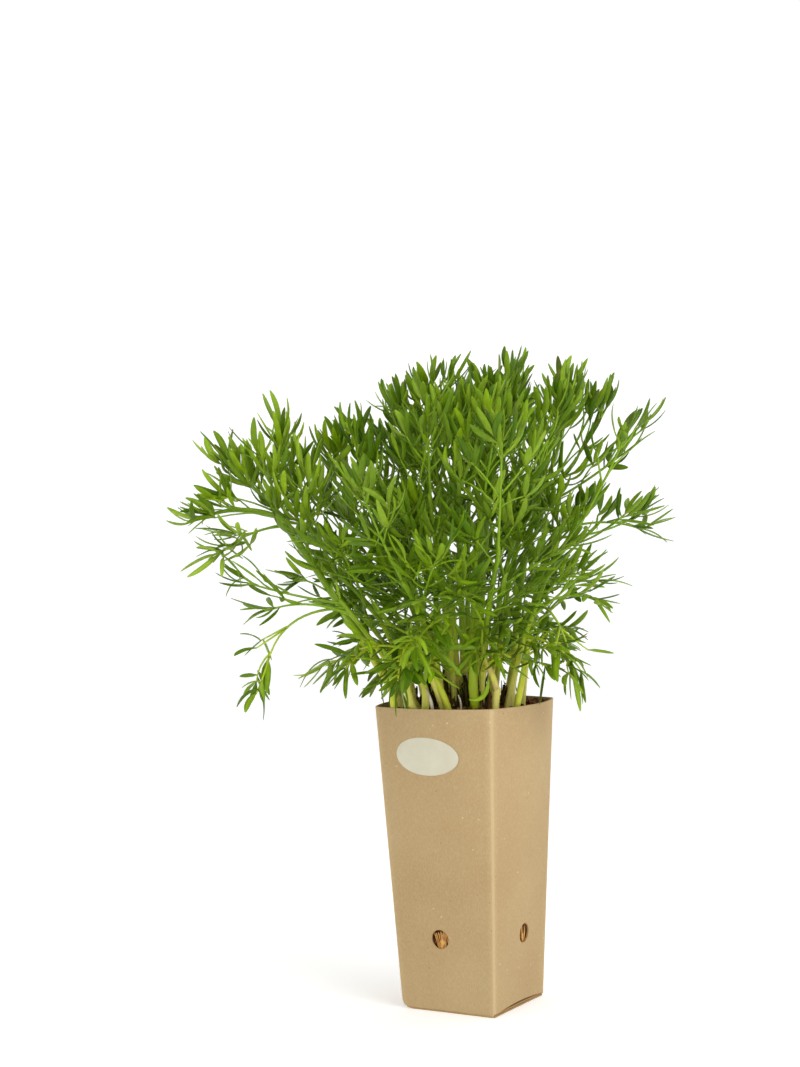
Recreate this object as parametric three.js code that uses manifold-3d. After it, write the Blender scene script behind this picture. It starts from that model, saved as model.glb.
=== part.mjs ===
// Rock samphire in a tall square card pot, in millimetres, +Z up.
// The origin is the centre of the pot's base. The face with the sticker looks along -Y.

import * as THREE from 'three'
import Module from 'manifold-3d'

const wasm = await Module()
wasm.setup()

// Pot: one folded sheet of card, open at the top
const POT_HEIGHT = 200
const POT_TOP_SIDE = 87.4
const POT_BASE_SIDE = 69.4
const CARD = 1.2
const FLOOR_THICK = 2.4
const RIM_BULGE = 10.2
const BULGE_POWER = 1.4
const FACE_STEPS = 6
const POT_LEVELS = [0, FLOOR_THICK, 70, 125, 165, POT_HEIGHT]

// Round vents low in the four walls
const VENT_RADIUS = 6.3
const VENT_HEIGHT = 48.5
const VENT_SHIFT = 2.2
const VENT_SIDES = 12

// The side walls lift off the folded floor in a shallow arch
const LIFT_HEIGHT = 1.3
const LIFT_HALF_LENGTH = 29
const LIFT_STEPS = 8

// Oval sticker near the rim
const STICKER_ACROSS = 47
const STICKER_TALL = 25
const STICKER_THICK = 0.4
const STICKER_X = -2.2
const STICKER_Z = 169
const STICKER_TURN = THREE.MathUtils.degToRad(-1.5)
const STICKER_SIDES = 24

// Root ball and soil that fill the pot
const GAP = 0.35
const SOIL_TOP = 197.6
const SOIL_ROUGH = 2.2
const SOIL_RINGS = [0.84, 0.56, 0.28]

// Stems stand in plain holes
const FOOT_DEPTH = 11
const FOOT_Z = SOIL_TOP - FOOT_DEPTH
const STRAIGHT_TO = SOIL_TOP + 2
const STEM_SIDES = 4
const STEM_STEPS = [0, 0.3, 0.65, 1]

// The bush is laid out in a plan turned from the pot: across, depth and height
const PLAN_TURN = THREE.MathUtils.degToRad(31.15)
const UP = [0, 0, 1]

// Leaf parts at their real size
const BLADE_LENGTH = [18, 28]
const BLADE_HALF_WIDTH = 2
const BLADE_THICK = 1.1
const AXIS_RADIUS = 0.42
const RACHIS_RADIUS = [1.1, 0.75]
const SUNK_RADIUS = 0.6
const JOIN_TOLERANCE = 0.02
const CLEARANCE = 0.35
const POT_ROOM = 1.4

// Pairs of side branches on a leaf: place along it, share of its length, lean from its line in degrees
const BRANCH_ROWS = [
  { at: 0.44, share: 0.54, lean: 42, bent: true },
  { at: 0.68, share: 0.38, lean: 36, bent: false },
]
const MOST_BRANCH = 50
const ONE_PAIR_REACH = 60
const LAST_ROW = BRANCH_ROWS.at(-1).at
const MIDRIB_BEND = 0.48
const PAIR_OFFSET = 0.012
const ROOT_LIFT = 0.12
const BRANCH_LIFT = [0.18, 0.38]
const BLADE_LIFT = [0.15, 0.5]
const BLADE_WIDEST = 0.45
const LEAST_STALK = 5
const LEAF_TRIES = 16
const LEAF_NUDGE = 4
const BRANCH_TRIES = 9

// Rings of stems from the middle of the pot outwards
const STEM_RINGS = [
  { count: 5, root: 9, tip: 26, height: 350, start: 22, foot: 2.1, form: 'crown' },
  { count: 9, root: 21, tip: 56, height: 326, start: 5, foot: 1.9, form: 'middle' },
  { count: 8, root: 32, tip: 76, height: 294, start: 14, foot: 1.8, form: 'outer' },
  { count: 5, root: 38, tip: 56, height: 250, start: 38, foot: 1.6, form: 'skirt' },
]
const RIGHT_RISE = 0.16

// The dome that the leaves of the ring stems rise to
const DOME_TOP = 437
const DOME_MIDDLE = 30
const DOME_HALF = 130
const DOME_DROP = [48, 62]
const DOME_UNDER = 16
const DOME_REACH = [62, 122]
const REACH_STEP = 2
const ROOT_SPACING = 7.5
const BEND_OUT = 0.2
const BEND_UP = 0.6
const STEM_TRIES = 8

// Seeds of the random draws
const SOIL_SEED = 77
const STEM_SEED = 1000
const LEAF_SEED = 5000
const BRANCH_SEED = 9000
const SEED_STEP = 40

// How far the random draws spread: degrees, millimetres, and shares of a length
const STEM_TURN_SPREAD = 12
const STEM_HEIGHT_SPREAD = 18
const ROOT_SPREAD = 4
const LEAF_TURN_SPREAD = 36
const LEAF_RISE_SPREAD = 14
const BRANCH_LEAN_SPREAD = 16
const BLADE_ROLL_SPREAD = 1.6
const LENGTH_SPREAD = [0.9, 1.1]
const FOOT_SPREAD = [0.85, 1.25]

// Leaves of a ring stem: place on the stem, turn from outward, rise at the start and the end.
// A leaf with a length of 0 rises to the dome.
const LEAF_FORMS = {
  crown: [
    { at: 0.98, turn: 10, rise: 68, endRise: 78, length: 0 },
    { at: 0.88, turn: 128, rise: 58, endRise: 70, length: 0 },
    { at: 0.66, turn: -118, rise: 52, endRise: 66, length: 0 },
  ],
  middle: [
    { at: 0.98, turn: 0, rise: 62, endRise: 70, length: 0 },
    { at: 0.82, turn: 76, rise: 50, endRise: 64, length: 0 },
    { at: 0.58, turn: -62, rise: 42, endRise: 46, length: 84 },
    { at: 0.36, turn: 40, rise: 42, endRise: 20, length: 74 },
    { at: 0.16, turn: -20, rise: 42, endRise: 4, length: 54 },
  ],
  outer: [
    { at: 0.98, turn: -8, rise: 54, endRise: 66, length: 0 },
    { at: 0.74, turn: 52, rise: 38, endRise: 34, length: 74 },
    { at: 0.45, turn: -46, rise: 34, endRise: 8, length: 66 },
    { at: 0.22, turn: 18, rise: 36, endRise: 0, length: 48 },
  ],
  skirt: [
    { at: 0.98, turn: 0, rise: 50, endRise: 58, length: 64 },
    { at: 0.78, turn: 58, rise: 38, endRise: 18, length: 54 },
    { at: 0.5, turn: -60, rise: 32, endRise: -8, length: 48 },
  ],
}

// Stems placed by eye, as across, depth and height: root, bend, tip, and each leaf's bend and end
const PLACED_STEMS = [
  {
    root: [-41, -12], bend: [-79, -20, 266], tip: [-120, -26, 329], foot: 3.6,
    leaves: [
      { at: 0.98, via: [-152, -30, 340], end: [-178, -34, 322] },
      { at: 0.95, via: [-136, -22, 350], end: [-160, -22, 366] },
      { at: 0.91, via: [-116, -16, 350], end: [-114, -12, 392] },
      { at: 0.86, via: [-118, -36, 342], end: [-138, -46, 376] },
      { at: 0.78, via: [-98, -34, 324], end: [-98, -42, 368] },
      { at: 0.94, via: [-146, -46, 318], end: [-160, -58, 298] },
    ],
  },
  {
    root: [-32, -27], bend: [-50, -36, 232], tip: [-80, -40, 271], foot: 2.1,
    leaves: [
      { at: 0.98, via: [-118, -46, 276], end: [-160, -48, 292] },
      { at: 0.94, via: [-134, -40, 268], end: [-131, -42, 202] },
      { at: 0.88, via: [-112, -50, 280], end: [-142, -58, 258] },
      { at: 0.6, via: [-70, -54, 240], end: [-86, -64, 218] },
    ],
  },
  {
    root: [-15, -36], bend: [-24, -44, 226], tip: [-34, -52, 244], foot: 2.6,
    leaves: [
      { at: 0.98, via: [-44, -62, 246], end: [-46, -74, 198] },
      { at: 0.94, via: [-22, -64, 262], end: [0, -84, 262] },
      { at: 0.8, via: [-62, -50, 250], end: [-84, -56, 232] },
      { at: 0.6, via: [-30, -62, 234], end: [-16, -80, 222] },
    ],
  },
  {
    root: [31, 4], bend: [38, 2, 300], tip: [58, 0, 346], foot: 2.4,
    leaves: [
      { at: 0.98, via: [98, 0, 356], end: [139, -2, 391] },
      { at: 0.94, via: [74, 6, 380], end: [82, 8, 424] },
      { at: 0.9, via: [86, -6, 362], end: [108, -6, 412] },
      { at: 0.84, via: [84, -20, 342], end: [120, -26, 372] },
    ],
  },
  {
    root: [37, -13], bend: [46, -12, 285], tip: [64, -14, 314], foot: 2.3,
    leaves: [
      { at: 0.98, via: [104, -14, 326], end: [136, -16, 302] },
      { at: 0.93, via: [98, -20, 306], end: [134, -22, 332] },
      { at: 0.8, via: [70, -34, 312], end: [92, -50, 336] },
      { at: 0.62, via: [72, -30, 276], end: [104, -40, 282] },
    ],
  },
  {
    root: [27, -29], bend: [36, -34, 244], tip: [48, -36, 266], foot: 2.3,
    leaves: [
      { at: 0.98, via: [66, -44, 262], end: [72, -52, 196] },
      { at: 0.94, via: [76, -38, 280], end: [96, -42, 258] },
      { at: 0.85, via: [64, -40, 272], end: [92, -52, 300] },
      { at: 0.6, via: [56, -50, 244], end: [70, -66, 226] },
    ],
  },
]

// Small vector sums on [x, y, z] lists
const add = (a, b) => [a[0] + b[0], a[1] + b[1], a[2] + b[2]]
const minus = (a, b) => [a[0] - b[0], a[1] - b[1], a[2] - b[2]]
const times = (a, s) => [a[0] * s, a[1] * s, a[2] * s]
const dot = (a, b) => a[0] * b[0] + a[1] * b[1] + a[2] * b[2]
const size = (a) => Math.sqrt(dot(a, a))
const unit = (a) => times(a, 1 / size(a))
const mix = (a, b, t) => add(times(a, 1 - t), times(b, t))
const radians = (degrees) => degrees * Math.PI / 180
const between = ([low, high], t) => low + (high - low) * t
const either = (random, spread) => (random() - 0.5) * spread
const clamp = (value, low, high) => Math.max(low, Math.min(high, value))

function cross(a, b) {
  return [a[1] * b[2] - a[2] * b[1], a[2] * b[0] - a[0] * b[2], a[0] * b[1] - a[1] * b[0]]
}

// A repeatable stream of numbers from 0 to 1, one for each part of the plant
function randomStream(seed) {
  let state = (seed * 2654435761) % 4294967296
  return function next() {
    state = (state * 1664525 + 1013904223) % 4294967296
    return state / 4294967296
  }
}

// Turns a plan place into the pot's frame
function fromPlan(across, depth, height) {
  const cos = Math.cos(PLAN_TURN)
  const sin = Math.sin(PLAN_TURN)
  return [across * cos - depth * sin, across * sin + depth * cos, height]
}

// A direction from its heading in the plan and its rise, both in degrees
function headed(heading, rise) {
  const flat = Math.cos(radians(rise))
  const across = Math.cos(radians(heading)) * flat
  const depth = Math.sin(radians(heading)) * flat
  return fromPlan(across, depth, Math.sin(radians(rise)))
}

// How high the bush reaches over a place in the pot's frame
function domeHeight([x, y]) {
  const across = x * Math.cos(PLAN_TURN) + y * Math.sin(PLAN_TURN)
  const depth = y * Math.cos(PLAN_TURN) - x * Math.sin(PLAN_TURN)
  const far = ((across - DOME_MIDDLE) / DOME_HALF) ** 2
  return DOME_TOP - DOME_DROP[0] * far - DOME_DROP[1] * (depth / DOME_HALF) ** 2
}

// The level direction across a line, and the one above it
function sectionAxes(ahead) {
  const flat = unit(cross(Math.abs(ahead[2]) > 0.98 ? [1, 0, 0] : UP, ahead))
  return [flat, cross(ahead, flat)]
}

// A quadratic curve through its first and last points, and its direction
function curvePoint([start, via, end], t) {
  return mix(mix(start, via, t), mix(via, end, t), t)
}

function curveDirection([start, via, end], t) {
  return unit(mix(minus(via, start), minus(end, via), t))
}

// A place on the straight stretches between a curve's bends
function alongBends(curve, stops, t) {
  const step = Math.max(0, stops.findIndex((stop) => stop >= t) - 1)
  const share = (t - stops[step]) / (stops[step + 1] - stops[step])
  return mix(curvePoint(curve, stops[step]), curvePoint(curve, stops[step + 1]), share)
}

// Solids: closed bodies from stacked sections, each a ring of points or one point

function solidFrom(points, triangles) {
  const mesh = new wasm.Mesh({
    numProp: 3,
    vertProperties: new Float32Array(points.flat()),
    triVerts: new Uint32Array(triangles.flat()),
  })
  return new wasm.Manifold(mesh)
}

function stackedSolid(sections) {
  const points = []
  const triangles = []
  const starts = []
  for (const section of sections) {
    starts.push(points.length)
    points.push(...section)
  }
  for (let level = 0; level + 1 < sections.length; level += 1) {
    const low = starts[level]
    const high = starts[level + 1]
    const lowCount = sections[level].length
    const highCount = sections[level + 1].length
    const count = Math.max(lowCount, highCount)
    for (let i = 0; i < count; i += 1) {
      const next = (i + 1) % count
      if (lowCount > 1) {
        triangles.push([low + i, low + next, high + (highCount > 1 ? next : 0)])
      }
      if (highCount > 1) {
        triangles.push([low + (lowCount > 1 ? i : 0), high + next, high + i])
      }
    }
  }
  closeEnd(points, triangles, sections[0], starts[0], true)
  closeEnd(points, triangles, sections.at(-1), starts.at(-1), false)
  return solidFrom(points, triangles)
}

// Closes an end ring: a triangle or a square as it is, any other from its middle
function closeEnd(points, triangles, section, start, first) {
  const count = section.length
  if (count < 3) {
    return
  }
  if (count < 5) {
    for (let i = 2; i < count; i += 1) {
      triangles.push(first ? [start + i, start + i - 1, start] : [start, start + i - 1, start + i])
    }
    return
  }
  const middle = points.length
  points.push(times(section.reduce(add), 1 / count))
  for (let i = 0; i < count; i += 1) {
    const next = (i + 1) % count
    triangles.push(first ? [start + next, start + i, middle] : [start + i, start + next, middle])
  }
}

// Joins solids into one body: a hollow that this seals is filled, and a loose scrap is dropped
function joined(solids) {
  const bodies = wasm.Manifold.union(solids).simplify(JOIN_TOLERANCE).decompose()
  return bodies.reduce((largest, body) => (body.volume() > largest.volume() ? body : largest))
}

function meshOf(name, solid, color, roughness) {
  const { vertProperties, triVerts } = solid.getMesh()
  const geometry = new THREE.BufferGeometry()
  geometry.setAttribute('position', new THREE.BufferAttribute(new Float32Array(vertProperties), 3))
  geometry.setIndex(new THREE.BufferAttribute(new Uint32Array(triVerts), 1))
  geometry.computeVertexNormals()
  const material = new THREE.MeshStandardMaterial({ color, roughness, metalness: 0 })
  const mesh = new THREE.Mesh(geometry, material)
  mesh.name = name
  return mesh
}

// Pot

function potHalfSide(z) {
  return (POT_BASE_SIDE + (POT_TOP_SIDE - POT_BASE_SIDE) * z / POT_HEIGHT) / 2
}

function potBulge(z) {
  return RIM_BULGE * Math.max(0, z / POT_HEIGHT) ** BULGE_POWER
}

// How far a wall's outer face stands out at a place along the wall
function wallReach(along, z) {
  const half = potHalfSide(z)
  return half + potBulge(z) * (1 - (along / half) ** 2)
}

// The pot's outline at one height, moved inwards by an inset
function potRing(z, inset) {
  const half = potHalfSide(z) - inset
  const ring = []
  for (let face = 0; face < 4; face += 1) {
    const turn = face * Math.PI / 2
    for (let step = 0; step < FACE_STEPS; step += 1) {
      const share = -1 + 2 * step / FACE_STEPS
      const along = half * share
      const out = half + potBulge(z) * (1 - share ** 2)
      const x = along * Math.cos(turn) + out * Math.sin(turn)
      const y = along * Math.sin(turn) - out * Math.cos(turn)
      ring.push([x, y, z])
    }
  }
  return ring
}

// A round plug through the wall that faces the given quarter turn
function ventPlug(quarter, shift) {
  const turn = quarter * Math.PI / 2
  const ends = [POT_BASE_SIDE * 0.4, POT_TOP_SIDE * 0.6]
  const sections = ends.map((out) => {
    const ring = []
    for (let i = 0; i < VENT_SIDES; i += 1) {
      const angle = 2 * Math.PI * i / VENT_SIDES
      const along = shift + VENT_RADIUS * Math.cos(angle)
      const z = VENT_HEIGHT + VENT_RADIUS * Math.sin(angle)
      ring.push([
        along * Math.cos(turn) + out * Math.sin(turn),
        along * Math.sin(turn) - out * Math.cos(turn),
        z,
      ])
    }
    return ring
  })
  return stackedSolid(sections)
}

// The shallow arch under one side wall
function liftPlug(side) {
  const inner = side * (POT_BASE_SIDE / 2 - CARD - 0.2)
  const outer = side * (POT_BASE_SIDE / 2 + 2)
  const sections = [Math.min(inner, outer), Math.max(inner, outer)].map((x) => {
    const ring = [[x, -LIFT_HALF_LENGTH, FLOOR_THICK], [x, LIFT_HALF_LENGTH, FLOOR_THICK]]
    for (let step = LIFT_STEPS - 1; step > 0; step -= 1) {
      const share = -1 + 2 * step / LIFT_STEPS
      ring.push([x, share * LIFT_HALF_LENGTH, FLOOR_THICK + LIFT_HEIGHT * (1 - share ** 2)])
    }
    return ring
  })
  return stackedSolid(sections)
}

function makePot() {
  const outside = POT_LEVELS.map((z) => potRing(z, 0))
  const inside = POT_LEVELS.slice(1).map((z) => potRing(z, CARD))
  const mouth = inside.at(-1).map(([x, y, z]) => [x, y, z + 1])
  let pot = stackedSolid(outside).subtract(stackedSolid([...inside, mouth]))
  for (let quarter = 0; quarter < 4; quarter += 1) {
    const shift = quarter % 2 === 0 ? -VENT_SHIFT : VENT_SHIFT
    pot = pot.subtract(ventPlug(quarter, shift))
  }
  pot = pot.subtract(liftPlug(1)).subtract(liftPlug(-1))
  return meshOf('pot', pot, 0xc2a576, 0.85)
}

// A thin oval that follows the bulge of the front wall
function makeSticker() {
  const rows = [0.5, 1]
  const layer = (gap) => {
    const points = [[0, 0]]
    for (const row of rows) {
      for (let i = 0; i < STICKER_SIDES; i += 1) {
        const angle = 2 * Math.PI * i / STICKER_SIDES
        points.push([row * STICKER_ACROSS / 2 * Math.cos(angle), row * STICKER_TALL / 2 * Math.sin(angle)])
      }
    }
    return points.map(([a, b]) => {
      const x = STICKER_X + a * Math.cos(STICKER_TURN) - b * Math.sin(STICKER_TURN)
      const z = STICKER_Z + a * Math.sin(STICKER_TURN) + b * Math.cos(STICKER_TURN)
      return [x, -(wallReach(x, z) + gap), z]
    })
  }
  const back = layer(GAP)
  const front = layer(GAP + STICKER_THICK)
  const offset = back.length
  const triangles = []
  for (let i = 0; i < STICKER_SIDES; i += 1) {
    const next = (i + 1) % STICKER_SIDES
    const [a, b] = [1 + i, 1 + next]
    const [c, d] = [1 + STICKER_SIDES + i, 1 + STICKER_SIDES + next]
    triangles.push([0, b, a], [a, b, d], [a, d, c])
    triangles.push([offset, offset + a, offset + b])
    triangles.push([offset + a, offset + d, offset + b], [offset + a, offset + c, offset + d])
    triangles.push([c, d, offset + d], [c, offset + d, offset + c])
  }
  return meshOf('sticker', solidFrom([...back, ...front], triangles), 0xdad3b4, 0.6)
}

// Keeping the pieces of different stems apart

const CELL = 20
const taken = new Map()

function cellsOf({ from, to, radius }) {
  const low = [0, 1, 2].map((k) => Math.floor((Math.min(from[k], to[k]) - radius) / CELL))
  const high = [0, 1, 2].map((k) => Math.floor((Math.max(from[k], to[k]) + radius) / CELL))
  const keys = []
  for (let i = low[0]; i <= high[0]; i += 1) {
    for (let j = low[1]; j <= high[1]; j += 1) {
      for (let k = low[2]; k <= high[2]; k += 1) {
        keys.push((i + 50) * 10000 + (j + 50) * 100 + (k + 50))
      }
    }
  }
  return keys
}

// The least distance between two straight rods
function rodDistance(a, b) {
  const d1 = minus(a.to, a.from)
  const d2 = minus(b.to, b.from)
  const r = minus(a.from, b.from)
  const aa = dot(d1, d1)
  const ee = dot(d2, d2)
  const f = dot(d2, r)
  const c = dot(d1, r)
  const bb = dot(d1, d2)
  const spread = aa * ee - bb * bb
  let s = spread > 1e-9 ? clamp((bb * f - c * ee) / spread, 0, 1) : 0
  let t = (bb * s + f) / ee
  if (t < 0 || t > 1) {
    t = clamp(t, 0, 1)
    s = clamp((bb * t - c) / aa, 0, 1)
  }
  return size(minus(add(a.from, times(d1, s)), add(b.from, times(d2, t))))
}

// Leaves stay above the rim or outside the walls
function clearOfPot(rod) {
  for (let step = 0; step <= 4; step += 1) {
    const [x, y, z] = mix(rod.from, rod.to, step / 4)
    if (z > POT_HEIGHT + rod.radius + POT_ROOM) {
      continue
    }
    const room = rod.radius + POT_ROOM
    const half = potHalfSide(z)
    const outX = Math.abs(x) - (Math.abs(y) < half ? wallReach(y, z) : half)
    const outY = Math.abs(y) - (Math.abs(x) < half ? wallReach(x, z) : half)
    if (Math.max(outX, outY) < room) {
      return false
    }
  }
  return true
}

// On one stem, end blades keep apart from each other, and midribs from each other and from the stem
function mayTouch(rod, other) {
  if (rod.kind === 'blade') {
    return other.kind !== 'blade'
  }
  return rod.kind === 'base' || (other.kind !== 'rib' && other.kind !== 'stem')
}

function clearOfStems(rods, stem) {
  return rods.every((rod) => cellsOf(rod).every((key) => (taken.get(key) ?? []).every((other) => {
    const touching = other.stem === stem && mayTouch(rod, other)
    return touching || rodDistance(rod, other) > rod.radius + other.radius + CLEARANCE
  })))
}

function claim(rods, stem) {
  for (const rod of rods) {
    const entry = { ...rod, stem }
    for (const key of cellsOf(rod)) {
      if (!taken.has(key)) {
        taken.set(key, [])
      }
      taken.get(key).push(entry)
    }
  }
}

// Stems

function ringLeaves(form, heading, random) {
  return LEAF_FORMS[form].map(({ at, turn, rise, endRise, length }) => {
    const way = heading + turn + either(random, LEAF_TURN_SPREAD)
    const reach = length * between(LENGTH_SPREAD, random())
    const lift = either(random, LEAF_RISE_SPREAD)
    const under = DOME_UNDER * random()
    return { at, way, rise: rise + lift, endRise: endRise + lift, reach, under }
  })
}

function ringStem({ root, tip, height, start, foot, form, count }, index, random) {
  const heading = start + 360 * index / count + either(random, STEM_TURN_SPREAD)
  const lean = headed(heading, 0)
  const rootReach = root + either(random, ROOT_SPREAD)
  const tipReach = tip * between(LENGTH_SPREAD, random())
  const across = tipReach * Math.cos(radians(heading))
  const top = height + RIGHT_RISE * across + either(random, STEM_HEIGHT_SPREAD)
  const bendReach = between([rootReach, tipReach], BEND_OUT)
  return {
    rootPoint: times(lean, rootReach),
    bendPoint: add(times(lean, bendReach), times(UP, between([SOIL_TOP, top], BEND_UP))),
    tipPoint: add(times(lean, tipReach), times(UP, top)),
    foot: foot * between(FOOT_SPREAD, random()),
    leaves: ringLeaves(form, heading, random),
    underDome: true,
  }
}

function placedStem({ root, bend, tip, foot, leaves }) {
  return {
    rootPoint: fromPlan(...root, 0),
    bendPoint: fromPlan(...bend),
    tipPoint: fromPlan(...tip),
    foot,
    leaves: leaves.map(({ at, via, end }) => ({ at, via: fromPlan(...via), end: fromPlan(...end) })),
    underDome: false,
  }
}

function stemCurve({ rootPoint, bendPoint, tipPoint }) {
  return [add(rootPoint, [0, 0, STRAIGHT_TO - rootPoint[2]]), bendPoint, tipPoint]
}

// A stem thins quickly at first, to a top radius that follows its foot
function stemRadius({ foot }, t) {
  return between([0.8 + foot / 4, foot], (1 - t) ** 1.5)
}

function stemRods(stem) {
  const curve = stemCurve(stem)
  const rods = []
  for (let step = 0; step < STEM_STEPS.length - 1; step += 1) {
    const from = curvePoint(curve, STEM_STEPS[step])
    const to = curvePoint(curve, STEM_STEPS[step + 1])
    rods.push({ from, to, radius: stemRadius(stem, STEM_STEPS[step]), kind: 'stem' })
  }
  return rods
}

function allStems() {
  const stems = PLACED_STEMS.map(placedStem)
  STEM_RINGS.forEach((ring, ringIndex) => {
    for (let index = 0; index < ring.count; index += 1) {
      const seed = STEM_SEED * (ringIndex + 1) + STEM_TRIES * index
      for (let attempt = 0; attempt < STEM_TRIES; attempt += 1) {
        const stem = ringStem(ring, index, randomStream(seed + attempt))
        const crowded = stems.some((other) => size(minus(other.rootPoint, stem.rootPoint)) < ROOT_SPACING)
        const others = stems.flatMap(stemRods)
        const clear = stemRods(stem).every((rod) => others.every((other) => {
          return rodDistance(rod, other) > rod.radius + other.radius + CLEARANCE
        }))
        if (!crowded && clear) {
          stems.push(stem)
          break
        }
      }
    }
  })
  return stems
}

// Leaves

function leafCurve(stem, leaf) {
  const start = alongBends(stemCurve(stem), STEM_STEPS, leaf.at)
  if (leaf.via) {
    return [start, leaf.via, leaf.end]
  }
  if (leaf.reach > 0) {
    return bentLine(start, leaf, leaf.reach)
  }
  let reach = DOME_REACH[0]
  let curve = bentLine(start, leaf, reach)
  while (reach < DOME_REACH[1] && curve[2][2] < domeHeight(curve[2]) - leaf.under) {
    reach += REACH_STEP
    curve = bentLine(start, leaf, reach)
  }
  return curve
}

// Two equal straight stretches, as a curve's three points
function bentLine(start, { way, rise, endRise }, reach) {
  const via = add(start, times(headed(way, rise), reach / 2))
  return [start, via, add(via, times(headed(way, endRise), reach / 2))]
}

function inReach(stem, end) {
  return !stem.underDome || end[2] <= domeHeight(end)
}

// Moves a curve's far end aside by a random step that grows with each try
function nudged([start, via, end], random, amount) {
  const shift = [either(random, amount), either(random, amount), either(random, amount)]
  return [start, add(via, times(shift, 0.5)), add(end, shift)]
}

function bladeLength(random) {
  return between(BLADE_LENGTH, random())
}

// Where a leaf's midrib bends, the last one where its end blade starts
function leafStops(curve, blade) {
  const turn = 1 - blade / size(minus(curve[2], curve[0]))
  return [0, MIDRIB_BEND, Math.max(LAST_ROW + 0.05, turn)]
}

function leafRods(curve, blade) {
  const stops = leafStops(curve, blade)
  const rods = []
  for (let step = 0; step + 1 < stops.length; step += 1) {
    const from = curvePoint(curve, stops[step])
    const kind = step === 0 ? 'base' : 'rib'
    rods.push({ from, to: curvePoint(curve, stops[step + 1]), radius: RACHIS_RADIUS[0], kind })
  }
  const from = curvePoint(curve, stops.at(-1))
  rods.push({ from, to: curve[2], radius: BLADE_HALF_WIDTH, kind: 'blade' })
  return rods
}

function branchCurve(leaf, row, side, random) {
  const at = row.at + side * PAIR_OFFSET
  const ahead = curveDirection(leaf.curve, at)
  const [flat, above] = sectionAxes(ahead)
  const root = add(alongBends(leaf.curve, leafStops(leaf.curve, leaf.blade), at), times(above, ROOT_LIFT))
  const lean = radians(row.lean + either(random, BRANCH_LEAN_SPREAD))
  const out = add(times(ahead, Math.cos(lean)), times(flat, side * Math.sin(lean)))
  const way = unit(add(out, times(UP, between(BRANCH_LIFT, random()))))
  const blade = bladeLength(random)
  const wanted = leaf.reach * row.share * between(LENGTH_SPREAD, random())
  const reach = clamp(wanted, blade + LEAST_STALK, MOST_BRANCH)
  const knee = add(root, times(way, reach - blade))
  const bent = unit(add(way, times(UP, between(BLADE_LIFT, random()))))
  const end = add(knee, times(bent, blade))
  return { root, knee, end, roll: either(random, BLADE_ROLL_SPREAD), bent: row.bent }
}

function branchRods({ root, knee, end }) {
  return [
    { from: root, to: knee, radius: AXIS_RADIUS + 0.1, kind: 'base' },
    { from: knee, to: end, radius: BLADE_HALF_WIDTH, kind: 'blade' },
  ]
}

function growLeaf(stem, stemIndex, leaf, leafIndex) {
  const random = randomStream(LEAF_SEED + SEED_STEP * stemIndex + leafIndex)
  const wanted = leafCurve(stem, leaf)
  const blade = bladeLength(random)
  for (let attempt = 0; attempt < LEAF_TRIES; attempt += 1) {
    const curve = nudged(wanted, random, attempt * LEAF_NUDGE)
    const rods = leafRods(curve, blade)
    if (inReach(stem, curve[2]) && rods.every(clearOfPot) && clearOfStems(rods, stemIndex)) {
      claim(rods, stemIndex)
      const reach = size(minus(curve[1], curve[0])) + size(minus(curve[2], curve[1]))
      return { curve, blade, reach, branches: [], seed: BRANCH_SEED + SEED_STEP * stemIndex + leafIndex }
    }
  }
  return null
}

function growBranches(stem, leaf, stemIndex) {
  const rows = leaf.reach < ONE_PAIR_REACH ? BRANCH_ROWS.slice(0, 1) : BRANCH_ROWS
  rows.forEach((row, rowIndex) => {
    for (const side of [1, -1]) {
      const random = randomStream(leaf.seed * 8 + rowIndex * 2 + (side > 0 ? 1 : 0))
      for (let attempt = 0; attempt < BRANCH_TRIES; attempt += 1) {
        const branch = branchCurve(leaf, row, side, random)
        const rods = branchRods(branch)
        if (inReach(stem, branch.end) && rods.every(clearOfPot) && clearOfStems(rods, stemIndex)) {
          claim(rods, stemIndex)
          leaf.branches.push(branch)
          break
        }
      }
    }
  })
}

function growBush() {
  const stems = allStems()
  stems.forEach((stem, index) => {
    claim(stemRods(stem), index)
    stem.grown = []
  })
  const mostLeaves = Math.max(...stems.map(({ leaves }) => leaves.length))
  for (let leafIndex = 0; leafIndex < mostLeaves; leafIndex += 1) {
    stems.forEach((stem, index) => {
      if (leafIndex < stem.leaves.length) {
        const leaf = growLeaf(stem, index, stem.leaves[leafIndex], leafIndex)
        if (leaf) {
          stem.grown.push(leaf)
        }
      }
    })
  }
  stems.forEach((stem, index) => stem.grown.forEach((leaf) => growBranches(stem, leaf, index)))
  return stems
}

// A three-sided section: flat below, with a ridge above
function ridgeSection(centre, ahead, halfWidth, thick, roll) {
  const [flat, above] = sectionAxes(ahead)
  const side = add(times(flat, Math.cos(roll)), times(above, Math.sin(roll)))
  const ridge = cross(ahead, side)
  return [
    add(centre, add(times(side, -halfWidth), times(ridge, -thick / 3))),
    add(centre, add(times(side, halfWidth), times(ridge, -thick / 3))),
    add(centre, times(ridge, thick * 2 / 3)),
  ]
}

function roundSection(centre, ahead, radius, sides) {
  const [flat, above] = sectionAxes(ahead)
  const ring = []
  for (let i = 0; i < sides; i += 1) {
    const angle = 2 * Math.PI * i / sides
    const along = times(flat, radius * Math.cos(angle))
    ring.push(add(centre, add(along, times(above, radius * Math.sin(angle)))))
  }
  return ring
}

function footRing(stem, z, grow) {
  const radius = stem.foot + grow / Math.cos(Math.PI / STEM_SIDES)
  return roundSection([stem.rootPoint[0], stem.rootPoint[1], z], UP, radius, STEM_SIDES)
}

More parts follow.
